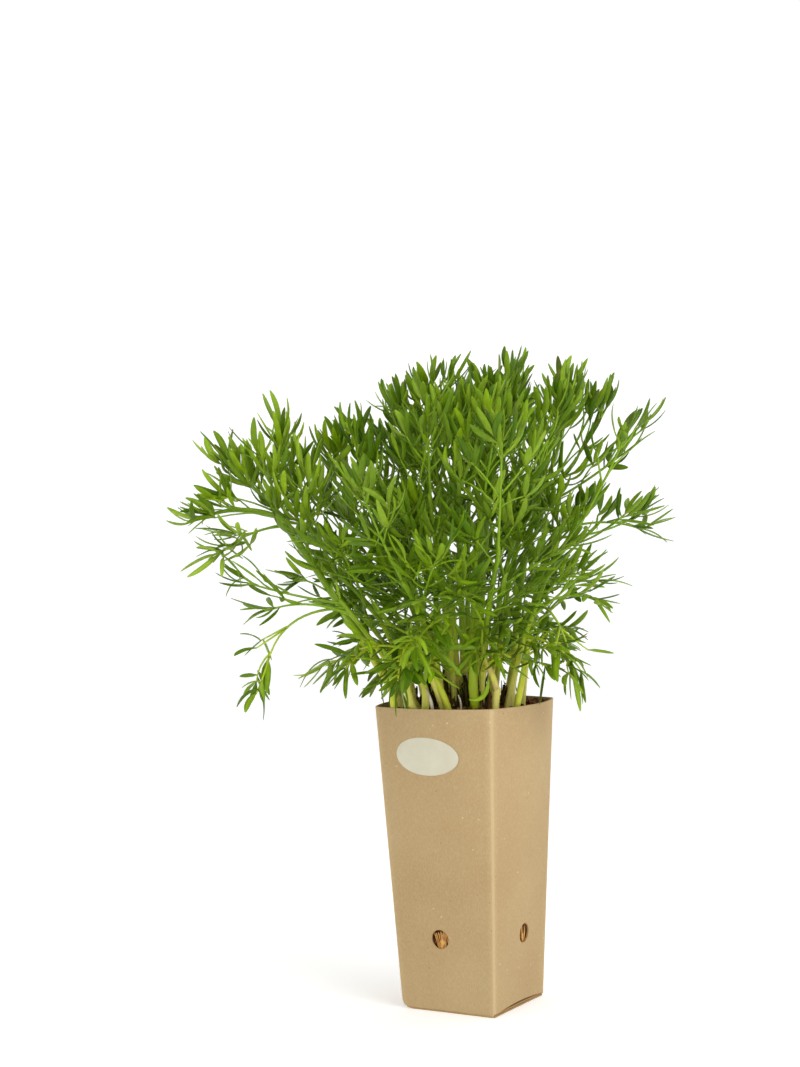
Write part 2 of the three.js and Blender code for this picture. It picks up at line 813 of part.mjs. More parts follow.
function stemSolid(stem) {
  const curve = stemCurve(stem)
  const sections = [footRing(stem, FOOT_Z, 0), footRing(stem, STRAIGHT_TO, 0)]
  for (const t of STEM_STEPS.slice(1)) {
    const radius = stemRadius(stem, t)
    sections.push(roundSection(curvePoint(curve, t), curveDirection(curve, t), radius, STEM_SIDES))
  }
  return stackedSolid(sections)
}

function leafSolid({ curve, blade }) {
  const stops = leafStops(curve, blade)
  const turn = stops.at(-1)
  const section = (t, halfWidth, thick) => {
    return ridgeSection(curvePoint(curve, t), curveDirection(curve, t), halfWidth, thick, 0)
  }
  const sections = stops.map((t) => {
    const radius = t === 0 ? SUNK_RADIUS : between(RACHIS_RADIUS, t / turn)
    return section(t, radius, radius * 1.7)
  })
  sections.push(section(between([turn, 1], BLADE_WIDEST), BLADE_HALF_WIDTH, BLADE_THICK), [curve[2]])
  return stackedSolid(sections)
}

function branchSolid({ root, knee, end, roll, bent }) {
  const first = unit(minus(knee, root))
  const second = unit(minus(end, knee))
  const sections = [ridgeSection(root, first, AXIS_RADIUS, AXIS_RADIUS * 1.6, roll)]
  if (bent) {
    sections.push(ridgeSection(knee, unit(add(first, second)), AXIS_RADIUS, AXIS_RADIUS * 1.6, roll))
  }
  sections.push(ridgeSection(mix(knee, end, BLADE_WIDEST), second, BLADE_HALF_WIDTH, BLADE_THICK, roll), [end])
  return stackedSolid(sections)
}

function makeShoot(stem, index) {
  const solids = [stemSolid(stem)]
  for (const leaf of stem.grown) {
    solids.push(leafSolid(leaf), ...leaf.branches.map(branchSolid))
  }
  const name = `shoot_${String(index + 1).padStart(2, '0')}`
  return meshOf(name, joined(solids), index === 0 ? 0x8cae4a : 0x4d7a1f, 0.55)
}

// Soil with a rough top and a plain hole for each stem
function makeSoil(stems) {
  const random = randomStream(SOIL_SEED)
  const inset = CARD + GAP
  const walls = [FLOOR_THICK + GAP, 70, 125, 165, SOIL_TOP - 1].map((z) => potRing(z, inset))
  const rim = walls.at(-1)
  const lids = SOIL_RINGS.map((share) => rim.map(([x, y]) => {
    return [x * share, y * share, SOIL_TOP + either(random, SOIL_ROUGH)]
  }))
  let soil = stackedSolid([...walls, ...lids])
  for (const stem of stems) {
    const hole = stackedSolid([footRing(stem, FOOT_Z - GAP, GAP), footRing(stem, STRAIGHT_TO, GAP)])
    soil = soil.subtract(hole)
  }
  return meshOf('soil', soil, 0x4a2a14, 0.95)
}

const stems = growBush()
const group = new THREE.Group()
group.add(makePot(), makeSticker(), makeSoil(stems))
stems.forEach((stem, index) => group.add(makeShoot(stem, index)))

export default group
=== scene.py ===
# Looks of a rock samphire in a tall square card pot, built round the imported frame.
# Lengths are millimetres, as the pot is measured, and become metres when a mesh is made.

import functools
import math
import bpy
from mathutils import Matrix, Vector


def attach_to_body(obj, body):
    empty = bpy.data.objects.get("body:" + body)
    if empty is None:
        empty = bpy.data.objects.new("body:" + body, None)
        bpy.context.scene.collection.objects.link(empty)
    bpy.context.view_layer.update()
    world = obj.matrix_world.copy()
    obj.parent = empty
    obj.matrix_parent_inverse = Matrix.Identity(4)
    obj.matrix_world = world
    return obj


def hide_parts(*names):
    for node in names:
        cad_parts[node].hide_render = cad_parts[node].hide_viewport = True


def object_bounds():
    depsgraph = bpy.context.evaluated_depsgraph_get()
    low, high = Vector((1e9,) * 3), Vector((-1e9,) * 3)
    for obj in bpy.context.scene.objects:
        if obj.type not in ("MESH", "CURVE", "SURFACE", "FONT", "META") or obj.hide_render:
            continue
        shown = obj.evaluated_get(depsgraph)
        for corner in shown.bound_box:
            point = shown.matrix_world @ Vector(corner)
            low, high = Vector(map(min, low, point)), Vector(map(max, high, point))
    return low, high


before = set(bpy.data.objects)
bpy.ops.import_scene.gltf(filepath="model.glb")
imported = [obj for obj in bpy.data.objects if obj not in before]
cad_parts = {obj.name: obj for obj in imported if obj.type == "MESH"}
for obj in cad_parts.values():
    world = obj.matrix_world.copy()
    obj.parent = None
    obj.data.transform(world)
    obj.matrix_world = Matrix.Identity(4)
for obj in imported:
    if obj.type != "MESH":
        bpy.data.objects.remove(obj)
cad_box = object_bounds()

from types import SimpleNamespace as Record

import bmesh
import bpy
import numpy as np
from mathutils import Matrix, Vector, noise

MM = 0.001
UP = np.array([0.0, 0.0, 1.0])

# Camera, worked out from the corners of the pot in the photograph
IMAGE_LONG_SIDE = 1067
FOCAL_PIXELS = 1932.67
SENSOR_WIDTH = 36
CAMERA_PLACE = (632.5, -1124.4, 315.0)
CAMERA_AZIMUTH = 31.15
CAMERA_PITCH = -0.07
CAMERA_ROLL = -1.614

# Pot: one folded sheet of card, open at the top
POT_HEIGHT = 200
POT_TOP_SIDE = 87.4
POT_BASE_SIDE = 69.4
CARD = 1.2
FLOOR_THICK = 2.4
RIM_BULGE = 10.2
BULGE_POWER = 1.4
CREASE_RADIUS = 1.5
LEAST_CREASE = 0.3
CREASE_STEPS = 4
FACE_STEPS = 22
WALL_LEVELS = 52
LEVEL_POWER = 1.25
VENT_RADIUS = 6.3
VENT_HEIGHT = 48.5
VENT_SHIFT = 2.2
VENT_SIDES = 40
LIFT_HEIGHT = 1.5
LIFT_LEAST = 0.1
LIFT_HALF_LENGTH = 29
FOLD_RADIUS = 1.8
FOLD_FOOT = 0.15
WORN_CORNER_RADIUS = 7.5
WORN_CORNER_LENGTH = 12
WORN_FROM = 0.93
LIP_SHARES = [0.25, 0.75]
LIP_ROUND = 0.03
LIP_EDGE = 0.35
FLAP_THICK = 1.05
FLAP_GAP = 0.2
FLAP_FOOT = 0.02
FLAP_ROUND = 0.25
FLAP_CORNER = 0.2
FLAP_EDGE = 0.9
CARD_SHARP = math.radians(38)

# Oval sticker near the rim
STICKER_ACROSS = 47
STICKER_TALL = 25
STICKER_THICK = 0.22
STICKER_X = -2.2
STICKER_Z = 169
STICKER_TURN = math.radians(-1.5)
STICKER_SIDES = 72
STICKER_ROWS = 6
STICKER_GAP = 0.08
STICKER_CURL = 0.35
STICKER_SHRINK = -0.12
STICKER_FLAT = 0.8
STICKER_SHARP = math.radians(50)

# Root ball and soil
GAP = 0.35
SOIL_TOP = 197.6
SOIL_RELIEF = 1.9
SOIL_ROWS = 44
SOIL_SIDE_ROWS = 60
SOIL_RIM_DROP = 1.6
SOIL_DROP_FROM = 0.75
BALL_SET_BACK = [1.1, 0.8]
CRUMB_COUNT = 620
CHIP_COUNT = 90
CRUMB_REACH = 0.97
CRUMB_SIZE = [0.5, 1.9]
CRUMB_SHAPE = (1.2, 1, 0.75)
CHIP_SHAPE = (2.6, 1.1, 0.4)
CRUMB_BUMPS = 0.55
CRUMB_REDNESS = 0.8
CRUMB_RISE = 0.15
ROOT_COUNT = 70
ROOT_REACH = 0.85
ROOT_EDGE = 3
ROOT_SPAN = [5, 16]
ROOT_RADIUS = [0.14, 0.34]
ROOT_TAPER = 0.6
VENT_ROOTS = 9
VENT_ROOT_RADIUS = [0.4, 1.0]
VENT_ROOT_TILT = 9
VENT_ROOT_PAST = 4
VENT_ROOT_BACK = 0.6
THICK_ROOT = (0.8, 1.5, 1.9)
FOOT_DEPTH = 11
FOOT_Z = SOIL_TOP - FOOT_DEPTH
STRAIGHT_TO = SOIL_TOP + 2
STEM_STEPS = [0, 0.3, 0.65, 1]

# The bush is laid out in a plan turned from the pot to the camera: across, depth and height
PLAN_TURN = math.radians(31.15)
PLAN_COS, PLAN_SIN = math.cos(PLAN_TURN), math.sin(PLAN_TURN)
NEARLY_UPRIGHT = 0.98

# Leaf parts at their real size
BLADE_LENGTH = [18, 28]
BLADE_HALF_WIDTH = 2
AXIS_RADIUS = 0.42
BASE_MORE = 0.1
RACHIS_RADIUS = 1.1
CLEARANCE = 0.35
POT_ROOM = 1.4

# Pairs of side branches on a leaf: place along it, share of its length, lean from its line in degrees
BRANCH_ROWS = [(0.44, 0.54, 42), (0.68, 0.38, 36)]
MOST_BRANCH = 50
ONE_PAIR_REACH = 60
LAST_ROW = BRANCH_ROWS[-1][0]
MIDRIB_BEND = 0.48
TURN_ROOM = 0.05
PAIR_OFFSET = 0.012
ROOT_LIFT = 0.12
BRANCH_LIFT = [0.18, 0.38]
BLADE_LIFT = [0.15, 0.5]
BLADE_FORWARD = 0.35
LEAST_STALK = 5
LEAF_TRIES = 16
LEAF_NUDGE = 4
BRANCH_TRIES = 9

# Rings of stems: count, root, tip, height, start, foot and leaf form
STEM_RINGS = [
    (5, 9, 26, 350, 22, 2.1, "crown"),
    (9, 21, 56, 326, 5, 1.9, "middle"),
    (8, 32, 76, 294, 14, 1.8, "outer"),
    (5, 38, 56, 250, 38, 1.6, "skirt"),
]
RIGHT_RISE = 0.16
ROOT_SPACING = 7.5

# The dome that the leaves of the ring stems rise to
DOME_TOP = 437
DOME_MIDDLE = 30
DOME_HALF = 130
DOME_DROP = [48, 62]
DOME_UNDER = 16
DOME_REACH = [62, 122]
REACH_STEP = 2
BEND_OUT = 0.2
BEND_UP = 0.6
STEM_TRIES = 8

# Details at the rim, by points as across, depth and height. Sheaths are broad pale leaf feet at the
# front, and husks are dry ones, with widths along them, thickness and green at the foot and the tip.
# The bent old stem has radii, green and pink at the foot and the tip of each stretch.
SHEATHS = [
    (((-32.5, -34, 194), (-42, -37, 212), (-36, -35, 225)), [1.6, 2.3, 2.5, 2.2, 1.4, 0.5], 0.8, [0.0, 0.35]),
    (((-29, -34, 194), (-22, -38, 211), (-33.5, -35, 224)), [1.8, 2.6, 2.8, 2.4, 1.5, 0.4], 0.8, [0.05, 0.3]),
    (((-46, -26, 194), (-50, -29, 210), (-47, -30, 228)), [2.0, 2.4, 2.4, 2.2, 1.8, 1.2], 1.4, [0.15, 0.6]),
    (((-11, -40, 194), (-15, -43, 212), (-24, -42, 226)), [1.8, 2.2, 2.1, 1.9, 1.6, 1.2], 1.5, [0.25, 0.55]),
    (((6, -36, 194), (2, -40, 216), (7, -40, 246)), [2.2, 3.0, 3.2, 2.9, 2.3, 1.4], 1.2, [0.45, 0.85]),
    (((31, -38, 194), (36, -41, 216), (40, -41, 238)), [1.8, 2.2, 2.1, 1.9, 1.6, 1.2], 1.4, [0.2, 0.6]),
]
HUSKS = [
    (((-22.4, -43.5, 196), (-22.6, -44, 206), (-26.4, -43, 213)), [0.9, 1.1, 1.0, 0.7, 0.4], 0.3, [0, 0]),
    (((-5, -44, 196), (-3, -48, 203), (-6, -49, 209)), [0.6, 0.7, 0.7, 0.5, 0.3], 0.3, [0, 0]),
]
BENT_STEM = [
    (((18, -46, 194), (17.5, -46, 204), (19.5, -46, 212.5)), [2.1, 2.5], [0.05, 0.1], [0.1, 0.4]),
    (((19.2, -46, 210), (17, -47, 220), (12.5, -48, 230)), [2.3, 1.8], [0.1, 0.3], [0.9, 1.0]),
    (((12.9, -48, 228), (9, -49, 242), (11, -50, 256)), [1.7, 1.0], [0.4, 0.9], [0.8, 0.1]),
]
HOOKED_LEAFLET = [(14, -49, 220), (13, -52, 203), (0.5, -53, 206)]
HOOK_HALF_WIDTH = 1.7
HOOK_ROLL = 1.4
HOOK_TINT = (0.5, 0.1, 0.1)

# Rough stubs of old leaves on the soil, mostly dark, which also stand in as painted shade between the stem
# bases
STUB_COUNT = 320
STUB_REACH = 0.72
STUB_HEIGHT = [4, 24]
STUB_RADIUS = [0.8, 2.6]
STUB_THICK = 0.5
STUB_TAPER = 0.6
STUB_ROUGHNESS = 0.7
STUB_BEND = 4
STUB_DEPTH = 2
STUB_LEAN = 8
STUB_STOPS = [0, 0.15, 0.3, 0.45, 0.6, 0.75, 0.9, 1]
# The most shade, redness and moss of a stub, and how rare much of it is. Low first values keep most stubs
# dark brown, as painted shade between the stems.
STUB_TINTS_WITH_PAINTED_SHADE = [(0.9, 1.5), (0.2, 2), (0.9, 1.5)]

# How pink stems are, how young and how dusty leaves and leaflets are, and how far that spreads
PINK_MOST = 0.8
PINK_RARITY = 6
LEAF_YOUTH = 0.3
SMALL_LEAF_YOUTH = 0.35
TUFT_YOUTH = 0.6
LEAF_BLOOM = 0.7
SMALL_LEAF_BLOOM = 0.8
TUFT_BLOOM = 0.2
YOUTH_SPREAD = 0.3
BLOOM_SPREAD = 0.6

# Seeds of the random draws
STEM_SEED = 1000
LEAF_SEED = 5000
BRANCH_SEED = 9000
SEED_STEP = 40
EXTRA_SEED = 400000
SKIN_SEED = 700000
SOIL_SEED = 31
ROOTS_SEED = 57
STUB_SEED = 83

# How far the random draws spread: degrees, millimetres, and shares of a length
STEM_TURN_SPREAD = 12
STEM_HEIGHT_SPREAD = 18
ROOT_SPREAD = 4
LEAF_TURN_SPREAD = 36
LEAF_RISE_SPREAD = 14
BRANCH_LEAN_SPREAD = 16
BLADE_ROLL_SPREAD = 1.6
LENGTH_SPREAD = [0.9, 1.1]
FOOT_SPREAD = [0.85, 1.25]

# Leaves of a ring stem: place on the stem, turn from outward, rise at the start and the end, length.
# A leaf with a length of 0 rises to the dome.
LEAF_FORMS = {
    "crown": [(0.98, 10, 68, 78, 0), (0.88, 128, 58, 70, 0), (0.66, -118, 52, 66, 0)],
    "middle": [
        (0.98, 0, 62, 70, 0), (0.82, 76, 50, 64, 0), (0.58, -62, 42, 46, 84), (0.36, 40, 42, 20, 74),
        (0.16, -20, 42, 4, 54),
    ],
    "outer": [(0.98, -8, 54, 66, 0), (0.74, 52, 38, 34, 74), (0.45, -46, 34, 8, 66), (0.22, 18, 36, 0, 48)],
    "skirt": [(0.98, 0, 50, 58, 64), (0.78, 58, 38, 18, 54), (0.5, -60, 32, -8, 48)],
}

# Stems placed one by one, as across, depth and height: root, bend, tip, foot, and each leaf's place, bend and
# end
PLACED_STEMS = [
    ((-41, -12), (-79, -20, 266), (-120, -26, 329), 3.6, [
        (0.98, (-152, -30, 340), (-178, -34, 322)),
        (0.95, (-136, -22, 350), (-160, -22, 366)),
        (0.91, (-116, -16, 350), (-114, -12, 392)),
        (0.86, (-118, -36, 342), (-138, -46, 376)),
        (0.78, (-98, -34, 324), (-98, -42, 368)),
        (0.94, (-146, -46, 318), (-160, -58, 298)),
    ]),
    ((-32, -27), (-50, -36, 232), (-80, -40, 271), 2.1, [
        (0.98, (-118, -46, 276), (-160, -48, 292)),
        (0.94, (-134, -40, 268), (-131, -42, 202)),
        (0.88, (-112, -50, 280), (-142, -58, 258)),
        (0.6, (-70, -54, 240), (-86, -64, 218)),
    ]),
    ((-15, -36), (-24, -44, 226), (-34, -52, 244), 2.6, [
        (0.98, (-44, -62, 246), (-46, -74, 198)),
        (0.94, (-22, -64, 262), (0, -84, 262)),
        (0.8, (-62, -50, 250), (-84, -56, 232)),
        (0.6, (-30, -62, 234), (-16, -80, 222)),
    ]),
    ((31, 4), (38, 2, 300), (58, 0, 346), 2.4, [
        (0.98, (98, 0, 356), (139, -2, 391)),
        (0.94, (74, 6, 380), (82, 8, 424)),
        (0.9, (86, -6, 362), (108, -6, 412)),
        (0.84, (84, -20, 342), (120, -26, 372)),
    ]),
    ((37, -13), (46, -12, 285), (64, -14, 314), 2.3, [
        (0.98, (104, -14, 326), (136, -16, 302)),
        (0.93, (98, -20, 306), (134, -22, 332)),
        (0.8, (70, -34, 312), (92, -50, 336)),
        (0.62, (72, -30, 276), (104, -40, 282)),
    ]),
    ((27, -29), (36, -34, 244), (48, -36, 266), 2.3, [
        (0.98, (66, -44, 262), (72, -52, 196)),
        (0.94, (76, -38, 280), (96, -42, 258)),
        (0.85, (64, -40, 272), (92, -52, 300)),
        (0.6, (56, -50, 244), (70, -66, 226)),
    ]),
]
PALE_STEMS = {0: 0.3, 1: 0.08}

# Leaflets beside an end leaflet: how far they lean out, their share of its length, and how often
NEAR_PAIR = [26, 60], [0.8, 1.15]
FAR_PAIR = [44, 78], [0.65, 1.0]
FAR_SHARE = 0.3
PAIR_STAGGER = 5
THREAD_SHARE = 0.06

# Small side branches that fill a leaf: place along it, stalk lengths, lean in degrees
FILL_ROWS = [(0.36, [12, 34], 50), (0.8, [5, 10], 44)]
FILL_BLADE = [18, 28]
FILL_LEAST_HEIGHT = 285
LOW_PAIR_SHARE = 0.5
SPARSE_STEMS = [1, 3, 4, 5, 26]
DENSE_STEMS = [0]
DENSE_ROWS = [(0.3, [10, 20], 40), (0.56, [8, 16], 44), (0.8, [5, 10], 40)]

# Small leaves low on the stems: places, lengths, rises and droops from the soil up to a range above it
SMALL_LEAVES = 4
SMALL_LEAF_AT = [0.2, 0.95]
SMALL_LEAF_LOWEST = 222
SMALL_LEAF_REACH = [20, 44]
SMALL_LEAF_RISE = [10, 62]
SMALL_LEAF_DROOP = [-48, 44]
SMALL_LEAF_SPREAD = 170
SMALL_LEAF_RANGE = 110
RISE_SPREAD = 0.5
SMALL_TWIG = (0.66, [4, 9], 44)
SMALL_STALK_RADIUS = 0.55

# Stars of leaflets, by stem: centre, then each leaflet's angle in the picture and length
STARS = {
    0: [
        ((-137, -32, 347), [(142, 25), (118, 26), (97, 23), (74, 19)]),
        ((-150, -36, 340), [(168, 22), (147, 25), (126, 26), (106, 23), (88, 19)]),
        ((-160, -38, 327), [(187, 20), (164, 23), (143, 24), (121, 20)]),
    ],
    2: [
        ((-25, -62, 258), [(98, 30), (52, 22), (14, 25), (-32, 24), (168, 20)]),
        ((-21, -65, 239), [(-152, 26), (-110, 24), (4, 28), (-38, 25), (62, 22)]),
        ((-42, -60, 225), [(-146, 20), (-84, 26), (36, 28), (118, 20)]),
    ],
}

# Where leaflets turn from drooping to upright
DROOP_HEIGHT = 212
UPRIGHT_HEIGHT = 370
UP_PULL = [-0.6, 0.75]
PULL_AT_FOOT = 0.3
PULL_AT_TIP = 0.6
PULL_ON_TWIG = 0.5

# Spreads of the small leaflets: tilt at the foot and the tip, and roll
TILT_SPREAD = 0.6
TIP_TILT_SPREAD = 0.7
TWIG_TILT_SPREAD = 0.8
TWIG_FORWARD = 0.3
END_TILT_SPREAD = 0.5
ROLL_SPREAD = 0.9
FAR_ROLL_SPREAD = 1.2
TUFT_SPREAD = 1.1
TUFT_CURVE = 0.3
TUFT_RISE = 0.3
STAR_ROLL = 1.2
THREAD_DROOP = 0.8
STAR_DROOP = 0.3

# Tries at each small leaflet, and the room that it keeps
EXTRA_TRIES = 5
BOX_LOW, BOX_HIGH = (np.array(corner) / MM for corner in cad_box)
BOX_ROOM = 11
DOME_ROOM = 4
EXTRA_RADIUS = 1.0
EXTRA_GAP = 0.05
EXTRA_FROM = 0.42
TUFT_BLADES = 3
TUFT_LENGTH = [8, 15]
TUFT_HALF_WIDTH = 1.1

# Fine shape of the blades and stalks
BLADE_SIDES = 8
BLADE_RINGS = 9
BLADE_WIDTH_SPREAD = [0.72, 1.14]
BLADE_THICK = 0.5
BLADE_WIDE_FROM = 0.36
BLADE_WIDE_TO = 0.6
BLADE_RISE_POWER = 1.2
BLADE_FALL_POWER = 0.55
BLADE_THINNING = 0.75
BLADE_BOW = 0.17
BLADE_SWAY = 0.17
BLADE_BEND = 0.48
GROOVE_PALE = 0.3
THREAD_HALF_WIDTH = 0.5
STALK_SIDES = 6
STALK_RINGS = 5
STEM_SIDES = 12
STEM_RINGS_UP = 16
STEM_RIB = 0.07
JOINT_SWELL = 0.3
JOINT_LENGTH = 0.035
FOOT_WIDTHS = [0.9, 1.05]
STEM_LEAST = 0.8
STEM_TAPER = 1.5
STEM_TIP = 2.2
SHEATH_LENGTH = 0.16
SHEATH_THICK = 0.8
SHEATH_WIDTH = 1.1
MIDRIB_SIDES = 8
MIDRIB_RINGS = 14
MIDRIB_TAPER = 0.8
MIDRIB_CROWDING = 1.3

# Radii of stalks at their foot and tip. The pale shoot's first leaf has a stout one.
MIDRIB_RADIUS = [1.05, 0.6]
BRANCH_RADIUS = [0.75, 0.45]
TWIG_RADIUS = [0.6, 0.42]
SMALL_RADIUS = [0.75, 0.5]
SMALL_TWIG_RADIUS = [0.5, 0.4]
STOUT_LEAF = (0, 0)
STOUT_RADIUS = [2.7, 1.1]

# Stalks turn from pale to green above the soil, and thin ones are never quite pale
PALE_TO = SOIL_TOP - 4
GREEN_RISE = 84
MIDRIB_GREEN = 0.3
STALK_GREEN = 0.6
MIDRIB_PINK = 0.6

# Stage, in metres, and lights: name, place, target and power
STAGE_FLAT = 2.4
STAGE_CURVE = 0.9
STAGE_HEIGHT = 3.2
STAGE_SIDES = 96
STAGE_GLOW = 0.3
WORLD_LIGHT = 0.3
LIGHT_SIZE = 1.2
LIGHTS = [
    ("key", (1.6, -0.6, 1.3), (0, 0, 0.22), 16),
    ("fill", (-1.0, -1.6, 0.8), (0, 0, 0.22), 4),
    ("top", (0.1, 0.3, 1.9), (0, 0, 0.25), 6),
]


# Vectors, random draws and curves

def vec(*values):
    return np.array(values, float)


def length_of(a):
    return math.sqrt(a @ a)


def unit(a):
    return a / length_of(a)


def cross(a, b):
    return vec(a[1] * b[2] - a[2] * b[1], a[2] * b[0] - a[0] * b[2], a[0] * b[1] - a[1] * b[0])


def mix(a, b, t):
    return a * (1 - t) + b * t


def between(ends, t):
    return ends[0] + (ends[1] - ends[0]) * t


def either(draw, spread):
    return (draw() - 0.5) * spread


def clamp(value, low=0, high=1):
    return max(low, min(high, value))


def smooth_step(value):
    share = clamp(value)
    return share * share * (3 - 2 * share)


def even_stops(count):
    return [i / (count - 1) for i in range(count)]


def random_stream(seed):
    """A repeatable stream of numbers from 0 to 1, the same as the solids are placed by."""
    state = seed * 2654435761 % 2 ** 32

    def draw():
        nonlocal state
        state = (state * 1664525 + 1013904223) % 2 ** 32
        return state / 2 ** 32

    return draw


def from_plan(across, depth, height):
    return vec(across * PLAN_COS - depth * PLAN_SIN, across * PLAN_SIN + depth * PLAN_COS, height)


def headed(heading, rise=0):
    way, slope = math.radians(heading), math.radians(rise)
    flat = math.cos(slope)
    return from_plan(math.cos(way) * flat, math.sin(way) * flat, math.sin(slope))


def dome_height(place):
    """How high the bush reaches over a place."""
    x, y = place[0], place[1]
    across, depth = x * PLAN_COS + y * PLAN_SIN, y * PLAN_COS - x * PLAN_SIN
    far = ((across - DOME_MIDDLE) / DOME_HALF) ** 2
    return DOME_TOP - DOME_DROP[0] * far - DOME_DROP[1] * (depth / DOME_HALF) ** 2


def section_axes(ahead):
    """The level direction across a line, and the one above it."""
    flat = unit(cross(vec(1, 0, 0) if abs(ahead[2]) > NEARLY_UPRIGHT else UP, ahead))
    return flat, cross(ahead, flat)


def rolled(ahead, roll):
    """A direction across a line, turned round it from the level one."""
    flat, above = section_axes(ahead)
    return flat * math.cos(roll) + above * math.sin(roll)


def leaning(ahead, across, side, degrees):
    """A direction that leans out from a line to one side."""
    lean = math.radians(degrees)
    return ahead * math.cos(lean) + across * (side * math.sin(lean))


def curve_point(curve, t):
    start, via, end = curve
    return mix(mix(start, via, t), mix(via, end, t), t)


def curve_direction(curve, t):
    start, via, end = curve
    return unit(mix(via - start, end - via, t))


def along_bends(curve, stops, t):
    """A place on the straight stretches between a curve's bends."""
    step = max(0, next(i for i, stop in enumerate(stops) if stop >= t) - 1)
    share = (t - stops[step]) / (stops[step + 1] - stops[step])
    return mix(curve_point(curve, stops[step]), curve_point(curve, stops[step + 1]), share)


def bowed(base, end, draw):
    """A gentle curve between two points, bent to one side and a little up or down."""
    line = end - base
    span = length_of(line)
    flat, above = section_axes(line / span)
    bow = 2 * span * BLADE_BOW
    return [base, mix(base, end, 0.5) + flat * either(draw, bow) + above * either(draw, bow), end]


# Keeping leaves apart: each straight stretch is a rod, and rods of different stems stay clear

# Kinds of rod, and which of them may touch in one stem
STEM, BASE, RIB, BLADE = range(4)
MAY_TOUCH = np.array([[0, 1, 0, 1], [1, 1, 1, 1], [0, 1, 0, 1], [1, 1, 1, 0]], bool)
CELL = 20
ROD_ROOM = 60000
taken = Record(
    count=0, start=np.zeros((ROD_ROOM, 3)), end=np.zeros((ROD_ROOM, 3)), radius=np.zeros(ROD_ROOM),
    stem=np.zeros(ROD_ROOM, int), kind=np.zeros(ROD_ROOM, int),
    low=np.zeros((ROD_ROOM, 3), int), high=np.zeros((ROD_ROOM, 3), int),
)


def rod(start, end, radius, kind):
    low = np.floor((np.minimum(start, end) - radius) / CELL).astype(int)
    high = np.floor((np.maximum(start, end) + radius) / CELL).astype(int)
    return Record(start=start, end=end, radius=radius, kind=kind, low=low, high=high)


def rod_distances(one, starts, ends):
    """The least distances from one rod to each of several."""
    d1 = one.end - one.start
    d2 = ends - starts
    r = one.start - starts
    aa = d1 @ d1
    ee = np.einsum("ij,ij->i", d2, d2)
    f = np.einsum("ij,ij->i", d2, r)
    c = r @ d1
    bb = d2 @ d1
    spread = aa * ee - bb * bb
    nearest = np.clip((bb * f - c * ee) / np.maximum(spread, 1e-9), 0, 1)
    s = np.where(spread > 1e-9, nearest, 0)
    t = (bb * s + f) / ee
    past = (t < 0) | (t > 1)
    t = np.clip(t, 0, 1)
    s = np.where(past, np.clip((bb * t - c) / aa, 0, 1), s)
    gap = one.start + s[:, None] * d1 - starts - t[:, None] * d2
    return np.sqrt(np.einsum("ij,ij->i", gap, gap))


def clear_of_stems(rods, stem, room):
    """Whether rods stay clear of the taken ones, apart from kinds that may touch in one stem."""
    count = taken.count
    for one in rods:
        shared = (taken.low[:count] <= one.high) & (taken.high[:count] >= one.low)
        near = np.nonzero(shared.all(axis=1))[0]
        near = near[~((taken.stem[near] == stem) & MAY_TOUCH[one.kind, taken.kind[near]])]
        if len(near):
            distances = rod_distances(one, taken.start[near], taken.end[near])
            if (distances <= one.radius + taken.radius[near] + room).any():
                return False
    return True


def claim(rods, stem):
    for one in rods:
        index = taken.count
        for key, value in vars(one).items():
            getattr(taken, key)[index] = value
        taken.stem[index] = stem
        taken.count = index + 1


def pot_half_side(z):
    return (POT_BASE_SIDE + (POT_TOP_SIDE - POT_BASE_SIDE) * z / POT_HEIGHT) / 2


def pot_bulge(z):
    return RIM_BULGE * max(0, z / POT_HEIGHT) ** BULGE_POWER


def wall_reach(along, z):
    """How far a wall's outer face stands out at a place along the wall."""
    half = pot_half_side(z)
    return half + pot_bulge(z) * (1 - (along / half) ** 2)


def clear_of_pot(one):
    for share in even_stops(5):
        x, y, z = mix(one.start, one.end, share)
        if z > POT_HEIGHT + one.radius + POT_ROOM:
            continue
        half = pot_half_side(z)
        out_x = abs(x) - (wall_reach(y, z) if abs(y) < half else half)
        out_y = abs(y) - (wall_reach(x, z) if abs(x) < half else half)
        if max(out_x, out_y) < one.radius + POT_ROOM:
            return False
    return True


def settle(rods, stem, room=CLEARANCE):
    """Takes the space of some rods if all of it is free."""
    free = all(clear_of_pot(one) for one in rods) and clear_of_stems(rods, stem, room)
    if free:
        claim(rods, stem)
    return free


# Stems and leaves, drawn in the same order as the solids

def ring_leaves(form, heading, draw):
    leaves = []
    for at, turn, rise, end_rise, length in LEAF_FORMS[form]:
        way = heading + turn + either(draw, LEAF_TURN_SPREAD)
        reach = length * between(LENGTH_SPREAD, draw())
        lift = either(draw, LEAF_RISE_SPREAD)
        leaf = Record(at=at, way=way, reach=reach, rise=rise + lift, end_rise=end_rise + lift)
        leaf.under = DOME_UNDER * draw()
        leaves.append(leaf)
    return leaves


def ring_stem(ring, index, draw):
    count, root, tip, height, start, foot, form = ring
    heading = start + 360 * index / count + either(draw, STEM_TURN_SPREAD)
    lean = headed(heading)
    root_reach = root + either(draw, ROOT_SPREAD)
    tip_reach = tip * between(LENGTH_SPREAD, draw())
    across = tip_reach * math.cos(math.radians(heading))
    top = height + RIGHT_RISE * across + either(draw, STEM_HEIGHT_SPREAD)
    bend_reach = between([root_reach, tip_reach], BEND_OUT)
    return Record(
        root=lean * root_reach,
        bend=lean * bend_reach + UP * between([SOIL_TOP, top], BEND_UP),
        tip=lean * tip_reach + UP * top,
        foot=foot * between(FOOT_SPREAD, draw()),
        leaves=ring_leaves(form, heading, draw),
        under_dome=True,
    )


def placed_stem(root, bend, tip, foot, leaves):
    leaves = [Record(at=at, via=from_plan(*via), end=from_plan(*end)) for at, via, end in leaves]
    root, bend, tip = from_plan(*root, 0), from_plan(*bend), from_plan(*tip)
    return Record(root=root, bend=bend, tip=tip, foot=foot, leaves=leaves, under_dome=False)


